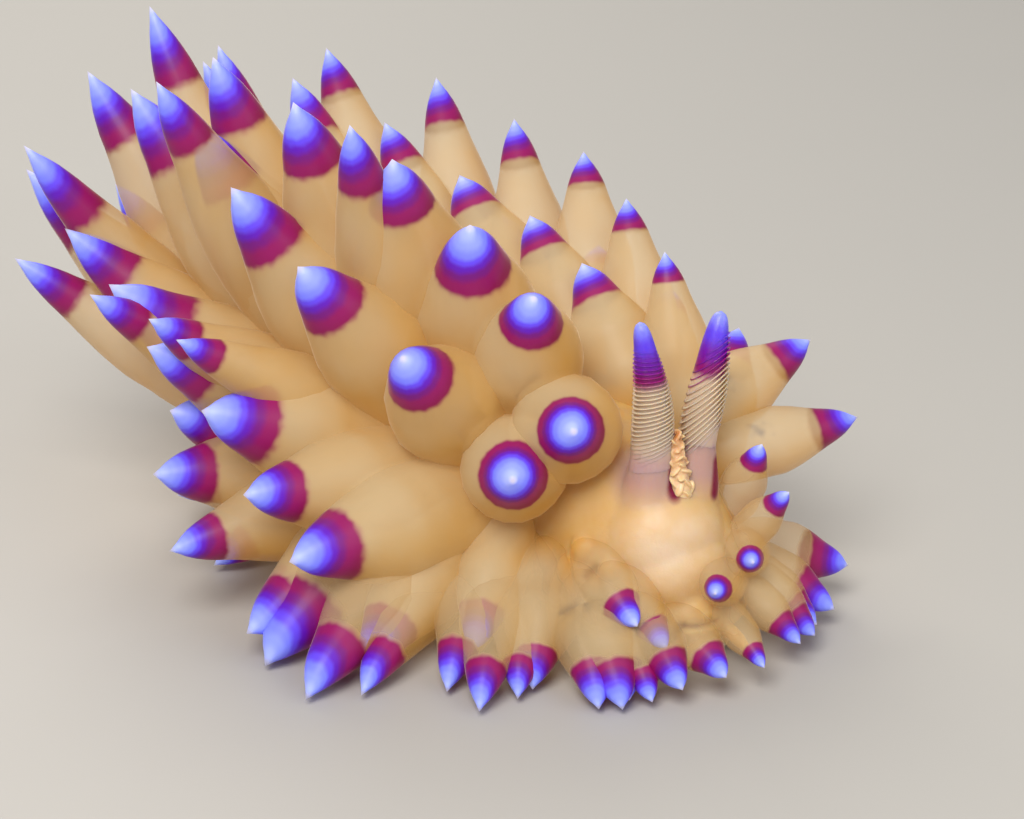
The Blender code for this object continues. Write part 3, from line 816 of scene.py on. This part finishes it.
class GrowthTree:
    """A Geometry Nodes tree with named inputs, run on a mesh of paths or points."""

    def __init__(self, name: str, numbers: dict[str, float]) -> None:
        """Start a tree.

        Args:
            name: The tree's name.
            numbers: The tree's number inputs, with their usual values.
        """
        self.tree = bpy.data.node_groups.new(name, "GeometryNodeTree")
        self.graph = Graph(self.tree)
        face = self.tree.interface
        face.new_socket("Geometry", in_out="INPUT", socket_type="NodeSocketGeometry")
        for label, usual in numbers.items():
            kind = "NodeSocketInt" if isinstance(usual, int) else "NodeSocketFloat"
            face.new_socket(label, in_out="INPUT", socket_type=kind).default_value = usual
        face.new_socket("Finish", in_out="INPUT", socket_type="NodeSocketMaterial")
        face.new_socket("Geometry", in_out="OUTPUT", socket_type="NodeSocketGeometry")
        self.start = self.graph.node("NodeGroupInput")

    def given(self, name: str) -> Value:
        """Return one of the tree's inputs."""
        return Value(self.graph, self.start.outputs[name])

    def stored(self, geometry: Value, name: str, number: Value) -> Value:
        """Return a geometry whose points carry a number."""
        settings = {"data_type": "FLOAT", "domain": "POINT"}
        return self.graph.value("GeometryNodeStoreNamedAttribute", settings,
                                {"Geometry": geometry, "Name": name, "Value": number})

    def named(self, name: str) -> Value:
        """Return a number that the points carry."""
        return self.graph.value("GeometryNodeInputNamedAttribute", {"data_type": "FLOAT"}, {"Name": name})

    def end(self, geometry: Value) -> None:
        """Shade smooth, realize, set the material and close the tree."""
        smooth = self.graph.value("GeometryNodeSetShadeSmooth", {}, {"Geometry": geometry})
        real = self.graph.value("GeometryNodeRealizeInstances", {}, {"Geometry": smooth})
        dressed = self.graph.value("GeometryNodeSetMaterial", {},
                                   {"Geometry": real, "Material": self.given("Finish")})
        self.graph.node("NodeGroupOutput", {}, {"Geometry": dressed})

    def run(self, name: str, source: Mesh, finish: Material,
            **numbers: float) -> Object:
        """Run the tree on a mesh.

        Args:
            name: The new piece's name.
            source: The mesh of paths or points.
            finish: The piece's material.
            numbers: Values of the tree's inputs.

        Returns:
            The finished piece, as a plain mesh at the origin.
        """
        holder = new_object(name + "_source", source)
        growth = holder.modifiers.new("Growth", "NODES")
        growth.node_group = self.tree
        wanted = {**{label.lower(): value for label, value in numbers.items()}, "finish": finish}
        for socket in self.tree.interface.items_tree:
            key = socket.name.lower().replace(" ", "_")
            if socket.in_out == "INPUT" and key in wanted:
                growth[socket.identifier] = wanted[key]
        mesh = evaluated_mesh(holder)
        mesh.name = name
        face_outwards(mesh)
        return new_object(name, mesh)


class TubeTree(GrowthTree):
    """Draws a round, closed skin along each path, as wide as a profile says."""

    def __init__(self, name: str, profile: tuple) -> None:
        """Build the tree.

        Args:
            name: The tree's name.
            profile: The radius along a path, as a share of the path's half width.
        """
        super().__init__(name, {"Rings": 40, "Sides": 20, "Unevenness": 0.0, "Seed": 1})
        graph = self.graph
        curve = graph.value("GeometryNodeMeshToCurve", {}, {"Mesh": self.given("Geometry")})
        curve = graph.value("GeometryNodeCurveSplineType", {"spline_type": "CATMULL_ROM"}, {"Curve": curve})
        curve = graph.value("GeometryNodeResampleCurve", {}, {"Curve": curve, "Count": self.given("Rings")})
        curve = graph.value("GeometryNodeSetCurveNormal", {"mode": "Z_UP"}, {"Curve": curve})
        curve = self.stored(curve, "share", graph.value("GeometryNodeSplineParameter", output="Factor"))
        reach = graph.value("ShaderNodeFloatCurve", {"points": profile}, {"Value": self.named("share")})
        circle = graph.value("GeometryNodeCurvePrimitiveCircle", {"mode": "RADIUS"},
                             {"Resolution": self.given("Sides"), "Radius": 1.0})
        skin = graph.value("GeometryNodeCurveToMesh", {}, {
            "Curve": curve, "Profile Curve": circle, "Scale": self.named("half_width") * reach})
        wave = graph.value("ShaderNodeTexNoise", {"noise_dimensions": "4D"},
                           {"W": self.given("Seed"), "Scale": 330.0, "Detail": 2.0})
        normal = graph.value("GeometryNodeInputNormal")
        bulge = (wave - 0.5) * self.given("Unevenness") * self.named("half_width") * reach
        offset = graph.value("ShaderNodeVectorMath", {"operation": "SCALE"}, {0: normal, "Scale": bulge})
        skin = graph.value("GeometryNodeSetPosition", {}, {"Geometry": skin, "Offset": offset})
        skin = self.stored(skin, "cloud", wave)
        # How much each point faces the key light; the gill skin paints light from this.
        facing = graph.value("ShaderNodeVectorMath", {"operation": "DOT_PRODUCT"},
                             {0: normal, 1: LIT_SIDE}, "Value")
        skin = self.stored(skin, "upper", facing)
        skin = graph.value("GeometryNodeMergeByDistance", {}, {"Geometry": skin, "Distance": 0.0005 * MM})
        self.end(skin)


@dataclass
class Gills:
    """The gills of one part of the body, in one piece."""

    name: str
    rows: tuple
    first_seed: int
    nodes: tuple
    rings: int = 36
    sides: int = 18
    unevenness: float = 0.16
    path_points: int = 12

    def gills(self) -> list[Gill]:
        """Return every gill of the group."""
        return [gill for k, row in enumerate(self.rows) for gill in row.gills(self.first_seed + k)]

    def build(self, tree: TubeTree, finish: Material) -> Object:
        """Build the group's piece.

        Args:
            tree: The tree that draws a gill along its path.
            finish: The gills' material.

        Returns:
            The piece.
        """
        gills = self.gills()
        last = self.path_points - 1
        paths = [[gill.point(i / last) for i in range(last + 1)] for gill in gills]
        numbers = {
            "half_width": [gill.width / 2 * MM for gill in gills],
            "cap": [gill.cap_start for gill in gills],
            "tone": [gill.tone for gill in gills],
            "clear": [gill.clear for gill in gills],
        }
        source = paths_mesh(self.name + "_paths", paths, numbers)
        piece = tree.run(self.name, source, finish, rings=self.rings, sides=self.sides,
                         unevenness=self.unevenness, seed=self.first_seed + 3)
        log.info("%s: %d gills", self.name, len(gills))
        place_in_frame(piece, Slot.GILLS, *self.nodes)
        return piece


def loft(shape: BMesh, loops: list[list[Vector]]) -> None:
    """Skin closed loops of equal count, with a flat face at each end."""
    rings = [[shape.verts.new(point) for point in loop] for loop in loops]
    count = len(rings[0])
    for ring, following in zip(rings, rings[1:]):
        for i in range(count):
            j = (i + 1) % count
            shape.faces.new((ring[i], ring[j], following[j], following[i]))
    shape.faces.new(rings[0])
    shape.faces.new(rings[-1])


def circle(middle: Vector, radius: float, across: Vector, rise: Vector, count: int) -> list[Vector]:
    """Return points round a circle in the plane of two directions."""
    turns = [2 * math.pi * k / count for k in range(count)]
    return [middle + radius * (math.cos(a) * across + math.sin(a) * rise) for a in turns]


def roll(shape: BMesh, first: Vector, last: Vector, radius: float, sag: float = 0.0) -> None:
    """Add a tapered roll between two points, bowed downwards by a sag.

    Args:
        shape: The shape that gets the roll.
        first: One end.
        last: The other end.
        radius: The radius at the middle.
        sag: How far the middle hangs.
    """
    along = (last - first).normalized()
    across = along.cross(UP).normalized()
    rise = across.cross(along)
    loops = []
    for i in range(ROLL_STEPS + 1):
        u = ROLL_END + (1 - 2 * ROLL_END) * i / ROLL_STEPS
        middle = first.lerp(last, u) - UP * sag * math.sin(math.pi * u)
        loops.append(circle(middle, radius * math.sin(math.pi * u) ** 0.5, across, rise, ROLL_STEPS))
    loft(shape, loops)


@dataclass
class BodySkin:
    """The one skin of flesh: foot, tail, mantle, back, head, lips and oral tentacles."""

    voxel: float = 0.14
    smoothing: int = 16
    mantle_steps: int = 90
    quarter_steps: int = 24
    end_steps: int = 6
    end_turn: float = 88.0
    underside: tuple = ((0.94, 1.35), (0.7, 1.25))
    foot_steps: int = 100
    foot_share: float = 0.78
    foot_thickness: float = 1.4
    foot_overlap: float = 0.2
    foot_edge: tuple = ((0.86, 0.02), (0.97, 0.12), (1.0, 0.35), (0.965, 0.65))
    foot_front: float = -0.02
    foot_front_inset: float = 0.4
    foot_rear: float = 0.93
    tail_end: float = 1.17
    tail_half_width: float = 2.05
    tail_tip: float = 0.3
    tail_thinning: float = 0.9
    snout: float = -0.022
    snout_height: float = 2.5
    rump: float = 1.05
    crest_rise: float = 0.15
    crest_power: int = 12
    heart_station: float = 0.5
    heart_rise: float = 0.5
    heart_length: float = 0.12
    lip_station: float = -0.012
    lip_reach: float = 1.1
    lips: tuple = ((2.75, 0.38, -0.2), (2.02, 0.32, 0.05))
    mouth_height: float = 2.36
    mouth_bow: float = 0.12
    mouth_thinness: float = 0.13
    mouth_half_width: float = 0.95
    mouth_depth: float = 0.4
    tentacle_root: tuple = (0.02, 1.3, 2.2)
    tentacle_tip: tuple = (-0.055, 2.3, 1.0)
    tentacle_radius: float = 0.42
    mound_sides: int = 20
    mound: tuple = ((-0.26, 0.7), (-0.20, 1.0), (-0.12, 1.25), (-0.04, 1.42), (0.03, 1.46), (0.09, 1.38),
                    (0.14, 1.28), (0.19, 1.17), (0.24, 1.07), (0.29, 0.98), (0.35, 0.88), (0.42, 0.72))
    brow: tuple = (0.105, -0.3, 5.5)
    brow_size: tuple = (3.3, 2.8, 3.2)
    cheek: tuple = (0.062, -0.1, 4.1)
    cheek_size: tuple = (2.9, 2.1, 2.6)
    cushion_place: float = 0.06
    cushion_share: float = 0.27
    floor_gap: float = 0.02
    # The middle and reach of the cream on the brow, which is partly a painted glow.
    brow_glow: tuple = (0.05, -1.1, 6.4)
    brow_glow_reach: float = 2.5
    stalk_place: float = 0.2
    stalk_glow: tuple = (2.1, 1.2)
    streak_glow: tuple = (2.0, 0.26)
    nodes: tuple = ("head", "back", "foot", "tail", "mantle_left", "mantle_right",
                    "oral_tentacle_left", "oral_tentacle_right")

    def mantle_loop(self, station: float, share: float = 1.0) -> list[Vector]:
        """Return the outline of the mantle at a station.

        Args:
            station: The station, or the nearest on the body where it lies past an end.
            share: The outline's size, as a share of the body's.

        Returns:
            The outline's points.
        """
        held = min(max(station, 0.0), 1.0)
        width, top = LINE.half_width(held), LINE.top(held)
        swelling = self.heart_rise * math.exp(-((station - self.heart_station) / self.heart_length) ** 2)
        flank = []
        for i in range(self.quarter_steps + 1):
            a = math.radians(90 * i / self.quarter_steps)
            crest = top + (self.crest_rise + swelling) * math.sin(a) ** self.crest_power
            rise = (crest - LINE.mantle_bottom) * math.sin(a) ** LINE.back_power
            flank.append((width * max(math.cos(a), 0.0) ** LINE.side_power, LINE.mantle_bottom + rise))
        middle = (0.0, flank.pop()[1])
        under = [(width * across, height) for across, height in self.underside]
        whole = [(-across, height) for across, height in flank] + [middle] + flank[::-1] + under
        whole += [(-across, height) for across, height in reversed(under)]
        base = self.snout_height
        return [LINE.place(station, across * share, base + (height - base) * share)
                for across, height in whole]

    def add_mantle(self, shape: BMesh) -> None:
        """Add the mantle with its rounded head and rump."""
        turns = [math.radians(self.end_turn * (k + 1) / self.end_steps) for k in range(self.end_steps)]
        loops = [self.mantle_loop(self.snout * math.sin(a), math.cos(a)) for a in reversed(turns)]
        loops += [self.mantle_loop(i / self.mantle_steps) for i in range(self.mantle_steps + 1)]
        loops += [self.mantle_loop(1 + (self.rump - 1) * math.sin(a), math.cos(a)) for a in turns]
        loft(shape, loops)

    def add_foot(self, shape: BMesh) -> None:
        """Add the flat foot, whose edge flares a little, and its pointed tail."""
        loops = []
        for i in range(self.foot_steps + 1):
            station = self.foot_front + (self.tail_end - self.foot_front) * i / self.foot_steps
            past = max(0.0, (station - self.foot_rear) / (self.tail_end - self.foot_rear))
            reach = LINE.half_width(max(station, 0.0)) * self.foot_share
            if past:
                reach = self.tail_half_width * (1 - past) ** 0.8 + self.tail_tip
            if station < 0.0:
                reach -= self.foot_front_inset * station / self.foot_front
            top = self.foot_thickness + self.foot_overlap - self.tail_thinning * past
            half = [*self.foot_edge, (0.92, top * 0.8), (0.6, top)]
            whole = half + [(-across, height) for across, height in reversed(half)]
            loops.append([LINE.place(station, reach * across, height) for across, height in whole])
        loft(shape, loops)

    def add_head_parts(self, shape: BMesh, feelers: "list[Feeler]") -> None:
        """Add the lips, the oral tentacles and the mounds that the feelers stand on."""
        for height, radius, sag in self.lips:
            ends = [LINE.place(self.lip_station, side * self.lip_reach, height) for side in (-1, 1)]
            roll(shape, *ends, radius, sag)
        for side in (-1, 1):
            ends = [LINE.place(station, side * across, height)
                    for station, across, height in (self.tentacle_root, self.tentacle_tip)]
            roll(shape, *ends, self.tentacle_radius)
        for feeler in feelers:
            loft(shape, [circle(feeler.point(t), reach, feeler.across, feeler.rise, self.mound_sides)
                         for t, reach in self.mound])
        for spot, size in ((self.brow, self.brow_size), (self.cheek, self.cheek_size)):
            turn = Matrix.Rotation(LINE.bend_start + LINE.bend_turn * spot[0], 4, "Z")
            swelling = Matrix.Translation(LINE.place(*spot)) @ turn @ Matrix.Diagonal((*size, 1))
            bmesh.ops.create_icosphere(shape, subdivisions=4, radius=1.0, matrix=swelling)

    def add_sockets(self, shape: BMesh, gills: list[Gill]) -> None:
        """Add a low cushion under each gill's root."""
        for gill in gills:
            place = Matrix.Translation(gill.point(self.cushion_place))
            radius = gill.width * self.cushion_share
            bmesh.ops.create_icosphere(shape, subdivisions=2, radius=radius, matrix=place)

    def build(self, gills: list[Gill], feelers: "list[Feeler]",
              finish: Material) -> Object:
        """Build the skin.

        Args:
            gills: The gills that grow from it.
            feelers: The feelers that stand on it.
            finish: The skin's material.

        Returns:
            The piece.
        """
        shape = bmesh.new()
        self.add_mantle(shape)
        self.add_foot(shape)
        self.add_head_parts(shape, feelers)
        self.add_sockets(shape, gills)
        bmesh.ops.recalc_face_normals(shape, faces=shape.faces[:])
        mesh = joined_skin("body_skin", shape, self.voxel, self.smoothing)
        self.shape_mouth(mesh)
        self.label(mesh, feelers)
        piece = dressed_skin(mesh, finish)
        place_in_frame(piece, Slot.FLESH, *self.nodes)
        return piece

    def shape_mouth(self, mesh: Mesh) -> None:
        """Press the line of the mouth in between the lips, and keep the skin off the floor."""
        points = points_of(mesh).astype(float)
        station = LINE.stations_of(points)
        across = np.hypot(points[:, 0] - LINE.bend_middle[0], points[:, 1]) - LINE.bend_radius
        line = self.mouth_height + self.mouth_bow * (across / self.lip_reach) ** 2
        press = np.exp(-((points[:, 2] - line) / self.mouth_thinness) ** 2)
        press = press * np.exp(-(across / self.mouth_half_width) ** 6) * (station < 0.0)
        points += press[:, None] * self.mouth_depth * np.array(LINE.tailward(0.0))
        points[:, 2] = np.maximum(points[:, 2], self.floor_gap)
        mesh.vertices.foreach_set("co", points.astype(np.float32).ravel())

    def label(self, mesh: Mesh, feelers: "list[Feeler]") -> None:
        """Give each point its station, its height and how near it is to the brow's painted glow, a stalk
        and a streak.

        Args:
            mesh: The skin, in millimetres.
            feelers: The feelers that stand on it.
        """
        points = points_of(mesh).astype(float)
        stalk, streak = np.zeros(len(points)), np.zeros(len(points))
        for feeler in feelers:
            reach = np.linalg.norm(points - np.array(feeler.point(self.stalk_place)), axis=1)
            stalk = np.maximum(stalk, nearness(reach, *self.stalk_glow))
            first, last = [np.array(end) for end in feeler.streak_ends()]
            run = last - first
            share = np.clip((points - first) @ run / (run @ run), 0, 1)
            reach = np.linalg.norm(points - first - share[:, None] * run, axis=1)
            streak = np.maximum(streak, nearness(reach, *self.streak_glow))
        reach = np.linalg.norm(points - np.array(LINE.place(*self.brow_glow)), axis=1)
        brow = np.exp(-(reach / self.brow_glow_reach) ** 2)
        set_numbers(mesh, station=LINE.stations_of(points), height=points[:, 2], stalk=stalk,
                    streak=streak, brow=brow)


class LeafTree(GrowthTree):
    """Sets a thin round leaf at each point, tilted and sized by the point's numbers."""

    def __init__(self) -> None:
        """Build the tree."""
        super().__init__("Feeler leaves", {"Segments": 20, "Rings": 8, "Thickness": 0.1})
        graph = self.graph
        leaf = graph.value("GeometryNodeMeshUVSphere", {}, {
            "Segments": self.given("Segments"), "Rings": self.given("Rings"), "Radius": 1.0})
        flat = graph.value("ShaderNodeCombineXYZ", {}, {0: 1.0, 1: 1.0, 2: self.given("Thickness")})
        leaf = graph.value("GeometryNodeTransform", {}, {"Geometry": leaf, "Scale": flat})
        turn = graph.value("GeometryNodeInputNamedAttribute", {"data_type": "FLOAT_VECTOR"},
                           {"Name": "turn"})
        turn = graph.value("FunctionNodeEulerToRotation", {}, {"Euler": turn})
        reach = self.named("half_width")
        size = graph.value("ShaderNodeCombineXYZ", {},
                           {0: reach * self.named("stretch"), 1: reach, 2: reach})
        leaves = graph.value("GeometryNodeInstanceOnPoints", {}, {
            "Points": self.given("Geometry"), "Instance": leaf, "Rotation": turn, "Scale": size})
        self.end(leaves)


# A feeler's radius along its length, as a share of its half width: with a slim tip and with a blunt one.
SLIM_TIP = ((0.0, 1.15), (0.10, 1.08), (0.19, 1.0), (0.32, 0.96), (0.44, 0.88), (0.56, 0.77), (0.69, 0.65),
            (0.76, 0.61), (0.82, 0.54), (0.88, 0.47), (0.94, 0.38), (0.98, 0.24), (1.0, 0.0))
BLUNT_TIP = ((0.0, 1.0), (0.10, 0.94), (0.18, 0.88), (0.26, 0.87), (0.36, 0.88), (0.48, 0.85), (0.60, 0.78),
             (0.72, 0.69), (0.80, 0.63), (0.88, 0.54), (0.94, 0.43), (0.98, 0.28), (1.0, 0.0))


@dataclass
class Feeler:
    """One rhinophore: a flared stalk, a club of fine slanting leaves and a smooth tip."""

    side: Side
    lean: float
    slants: tuple
    spread: float
    sway: float
    profile: tuple
    back_lean: float = 8.0
    station: float = 0.112
    sunk: float = 1.0
    length: float = 8.7
    width: float = 2.2
    leaves: int = 27
    leaves_start: float = 0.27
    leaves_end: float = 0.84
    leaf_reach: float = 0.17
    leaf_swell: tuple = (0.10, 0.82)
    uphill: tuple = (0.72, -0.69, 0.0)
    streak: tuple = ((0.2, 0.95, 0.45), (0.06, 0.8, 1.0))
    path_points: int = 15
    way: Vector = field(init=False)
    across: Vector = field(init=False)
    rise: Vector = field(init=False)

    def __post_init__(self) -> None:
        """Work out the feeler's own directions."""
        tailward = LINE.tailward(self.station)
        lean = math.tan(math.radians(self.lean)) * self.side.value
        way = UP + lean * LINE.leftward(self.station) + math.tan(math.radians(self.back_lean)) * tailward
        self.way = way.normalized()
        self.across = self.way.cross(tailward).normalized()
        self.rise = self.across.cross(self.way)

    def point(self, t: float) -> Vector:
        """Return the middle of the feeler at a share of its length."""
        base = LINE.place(self.station, self.side.value * self.spread, LINE.top(self.station) - self.sunk)
        sway = LINE.leftward(self.station) * self.sway * math.sin(math.pi * max(t, 0.0))
        return base + self.way * (self.length + self.sunk) * t + sway

    def radius(self, t: float) -> float:
        """Return the stalk's radius at a share of the length."""
        places, radii = zip(*self.profile)
        return self.width / 2 * float(np.interp(t, places, radii))

    def streak_ends(self) -> tuple[Vector, Vector]:
        """Return the ends of the crimson streak on the front left of the stalk's foot."""
        side, front = Vector(self.uphill), -LINE.tailward(self.station)
        first, last = [self.point(t) + side * out + front * ahead for t, out, ahead in self.streak]
        return first, last

    def leaf_points(self) -> Mesh:
        """Return a point for each leaf, with its size, stretch, turn and share."""
        uphill = Vector(self.uphill) - Vector(self.uphill).dot(self.way) * self.way
        uphill.normalize()
        points, half_width, stretch, share, turns = [], [], [], [], []
        for i in range(self.leaves):
            u = i / (self.leaves - 1)
            t = self.leaves_start + (self.leaves_end - self.leaves_start) * u
            slant = math.radians(self.slants[0] + (self.slants[1] - self.slants[0]) * u)
            slope = uphill * math.cos(slant) + self.way * math.sin(slant)
            up = self.way * math.cos(slant) - uphill * math.sin(slant)
            start, span = self.leaf_swell
            swell = self.leaf_reach * math.sin(math.pi * (start + span * u))
            points.append(self.point(t) * MM)
            half_width.append((self.radius(t) + swell) * MM)
            stretch.append(1 / math.cos(slant))
            share.append(t)
            turns.append(Matrix((slope, up.cross(slope), up)).transposed().to_euler())
        mesh = bpy.data.meshes.new("leaf_points")
        mesh.from_pydata(points, [], [])
        set_numbers(mesh, half_width=half_width, stretch=stretch, share=share)
        store = mesh.attributes.new("turn", "FLOAT_VECTOR", "POINT")
        store.data.foreach_set("vector", np.array(turns, np.float32).ravel())
        return mesh

    def build(self, leaves: LeafTree, finish: Material) -> None:
        """Build the stalk and its leaves.

        Args:
            leaves: The tree that sets the leaves.
            finish: The feeler's material.
        """
        label = self.side.name.lower()
        tube = TubeTree("Stalk_" + label, self.profile)
        last = self.path_points - 1
        path = [self.point(i / last) for i in range(last + 1)]
        source = paths_mesh("stalk_path", [path], {"half_width": [self.width / 2 * MM]})
        stalk = tube.run(f"feeler_{label}_stalk", source, finish,
                         rings=70, sides=28, unevenness=0.08, seed=5)
        club = leaves.run(f"feeler_{label}_leaves", self.leaf_points(), finish,
                          segments=26, rings=8, thickness=0.07)
        for piece in (stalk, club):
            place_in_frame(piece, Slot.FEELERS, "rhinophore_" + label)


@dataclass
class Caruncle:
    """The ruffled knob between the feelers."""

    station: float = 0.085
    across: float = 0.25
    rise: float = 0.5
    height: float = 3.3
    width: float = 1.5
    lean: float = 0.9
    taper: float = 0.62
    lobes: int = 46
    lobe_ring: float = 0.84
    lobe_top: float = 0.9
    lobe_turn: float = 0.8
    lobe_tilt: float = 1.2
    lobe_shape: tuple = ((0.9, 1.4), (1.7, 2.6), (0.45, 0.7))
    lobe_radius: tuple = (0.15, 0.20)
    cores: int = 9
    core_share: float = 0.42
    seed: int = 21
    voxel: float = 0.045
    smoothing: int = 2

    def add_lobes(self, shape: BMesh, foot: Vector) -> None:
        """Add the lobes, which climb in a spiral, and the core that holds them.

        Args:
            shape: The shape that gets them.
            foot: The middle of the caruncle's foot.
        """
        draw = random.Random(self.seed)
        back = LINE.tailward(self.station)
        for i in range(self.lobes):
            u = (i + 0.5) / self.lobes
            turn = i * GOLDEN_TURN
            ring = self.width / 2 * (1.0 - self.taper * u) * self.lobe_ring
            spot = foot + UP * self.height * u * self.lobe_top + back * (self.lean * u)
            spot += LINE.leftward(self.station) * ring * math.cos(turn) + back * ring * math.sin(turn)
            yaw = turn + draw.uniform(-self.lobe_turn, self.lobe_turn)
            lobe = Matrix.Translation(spot) @ Matrix.Rotation(yaw, 4, "Z")
            lobe = lobe @ Matrix.Rotation(draw.uniform(-self.lobe_tilt, self.lobe_tilt), 4, "X")
            lobe = lobe @ Matrix.Diagonal((*(draw.uniform(*span) for span in self.lobe_shape), 1.0))
            radius = draw.uniform(*self.lobe_radius)
            bmesh.ops.create_icosphere(shape, subdivisions=2, radius=radius, matrix=lobe)
        for k in range(self.cores):
            u = k / (self.cores + 1) - 0.05
            middle = Matrix.Translation(foot + UP * self.height * u + back * self.lean * u)
            core = self.width * self.core_share * (1.0 - self.taper * u)
            bmesh.ops.create_icosphere(shape, subdivisions=2, radius=core, matrix=middle)

    def label(self, mesh: Mesh, foot: Vector) -> None:
        """Give each point how far out it lies, from 0 in the folds to 1.

        Args:
            mesh: The skin, in millimetres.
            foot: The middle of the caruncle's foot.
        """
        points = points_of(mesh).astype(float)
        back = np.array(LINE.tailward(self.station))
        axis = np.array(foot)[None, :] + np.outer((points[:, 2] - foot.z) * self.lean / self.height, back)
        reach = np.linalg.norm((points - axis)[:, :2], axis=1)
        u = np.clip((points[:, 2] - foot.z) / self.height, 0, 1)
        outer = self.width / 2 * (1.15 - 0.6 * u)
        set_numbers(mesh, fold=np.clip(reach / outer - 0.35 * u, 0, 1))

    def build(self, finish: Material) -> Object:
        """Build the caruncle.

        Args:
            finish: Its material.

        Returns:
            The piece.
        """
        foot = LINE.place(self.station, self.across, LINE.top(self.station) + self.rise)
        shape = bmesh.new()
        self.add_lobes(shape, foot)
        mesh = joined_skin("caruncle_ruffles", shape, self.voxel, self.smoothing)
        self.label(mesh, foot)
        piece = dressed_skin(mesh, finish)
        place_in_frame(piece, Slot.CARUNCLE, "caruncle")
        return piece


@dataclass(frozen=True)
class SoftLight:
    """A square studio light: its place round the slug, its size and its strength."""

    name: str
    azimuth: float
    elevation: float
    distance: float
    size: float
    watts: float
    colour: tuple = (1.0, 1.0, 1.0)

    def build(self, aim: Vector) -> None:
        """Set the light, turned to a point in metres."""
        a, e = math.radians(self.azimuth), math.radians(self.elevation)
        back = Vector((math.sin(a) * math.cos(e), -math.cos(a) * math.cos(e), math.sin(e)))
        data = bpy.data.lights.new(self.name, "AREA")
        data.size, data.energy, data.color = self.size, self.watts, self.colour
        lamp = bpy.data.objects.new(self.name, data)
        lamp.location = aim + back * self.distance
        lamp.rotation_mode = "QUATERNION"
        lamp.rotation_quaternion = (-back).to_track_quat("-Z", "Y")
        bpy.context.scene.collection.objects.link(lamp)


@dataclass
class Studio:
    """The camera, the lights and the plain floor."""

    camera_place: tuple = (-94.645, -97.416, 71.878)
    camera_down: float = 25.0
    camera_turn: float = -44.0
    focal_length: float = 98.44
    floor_size: float = 900.0
    sky: tuple = (0.80, 0.84, 0.90)
    sky_strength: float = 0.42
    lights: tuple = (
        SoftLight("key_light", -62, 52, 0.26, 0.14, 0.64, (1.0, 0.97, 0.93)),
        SoftLight("fill_light", 10, 30, 0.30, 0.22, 0.22, (0.95, 0.97, 1.0)),
        SoftLight("back_light", 160, 40, 0.26, 0.14, 0.32, (1.0, 0.95, 0.88)),
    )

    def add_camera(self) -> None:
        """Set the camera at the photo's place and angle."""
        turn, down = math.radians(self.camera_turn), math.radians(self.camera_down)
        level = Vector((-math.sin(turn), math.cos(turn), 0.0))
        look = math.cos(down) * level - math.sin(down) * UP
        data = bpy.data.cameras.new("camera")
        data.lens, data.sensor_width = self.focal_length, 36.0
        data.clip_start, data.clip_end = 0.005, 5.0
        camera = bpy.data.objects.new("camera", data)
        camera.location = Vector(self.camera_place) * MM
        camera.rotation_mode = "QUATERNION"
        camera.rotation_quaternion = look.to_track_quat("-Z", "Y")
        bpy.context.scene.collection.objects.link(camera)
        bpy.context.scene.camera = camera

    def add_sky(self) -> None:
        """Set the pale light that comes from all round."""
        world = bpy.data.worlds.new("studio_air")
        world.use_nodes = True
        graph = Graph(world.node_tree)
        sky = graph.node("ShaderNodeBackground", {}, {"Color": self.sky, "Strength": self.sky_strength})
        graph.node("ShaderNodeOutputWorld", {}, {"Surface": sky.outputs[0]})
        bpy.context.scene.world = world

    def add_floor(self, finish: Material) -> None:
        """Lay the floor."""
        half = self.floor_size / 2 * MM
        mesh = bpy.data.meshes.new("floor")
        corners = [(-half, -half, 0), (half, -half, 0), (half, half, 0), (-half, half, 0)]
        mesh.from_pydata(corners, [], [(0, 1, 2, 3)])
        mesh.materials.append(finish)
        new_object("floor", mesh)

    def build(self) -> None:
        """Build the studio."""
        self.add_camera()
        self.add_sky()
        self.add_floor(FloorFinish().make())
        aim = LINE.place(0.4, 0.0, 5.0) * MM
        for light in self.lights:
            light.build(aim)
        bpy.context.scene.view_settings.view_transform = "Standard"
        log.info("studio: %d lights", len(self.lights))


def main() -> None:
    """Build the slug and its studio."""
    logging.basicConfig(level=logging.INFO, format="%(name)s: %(message)s")
    Studio().build()
    gill_tree = TubeTree("Gills along paths", GILL_PROFILE)
    gill_skin = GillFinish().make()
    groups = [
        Gills("gills_right", RIGHT_ROWS, -10, ("mantle_right",)),
        Gills("gills_left", LEFT_ROWS, 10, ("mantle_left",)),
        Gills("gills_head", HEAD_ROWS, 50, ("head",)),
    ]
    for group in groups:
        group.build(gill_tree, gill_skin)
    feelers = [
        Feeler(Side.RIGHT, lean=-1.0, slants=(24.0, -4.0), spread=1.25, sway=0.55, profile=SLIM_TIP),
        Feeler(Side.LEFT, lean=13.5, slants=(54.0, 40.0), spread=1.35, sway=-0.15, profile=BLUNT_TIP,
               leaves=18),
    ]
    leaf_tree = LeafTree()
    feeler_skin = FeelerFinish().make()
    for feeler in feelers:
        feeler.build(leaf_tree, feeler_skin)
    Caruncle().build(CaruncleFinish().make())
    BodySkin().build([gill for group in groups for gill in group.gills()], feelers, FleshFinish().make())


if __name__ == "__main__":
    main()
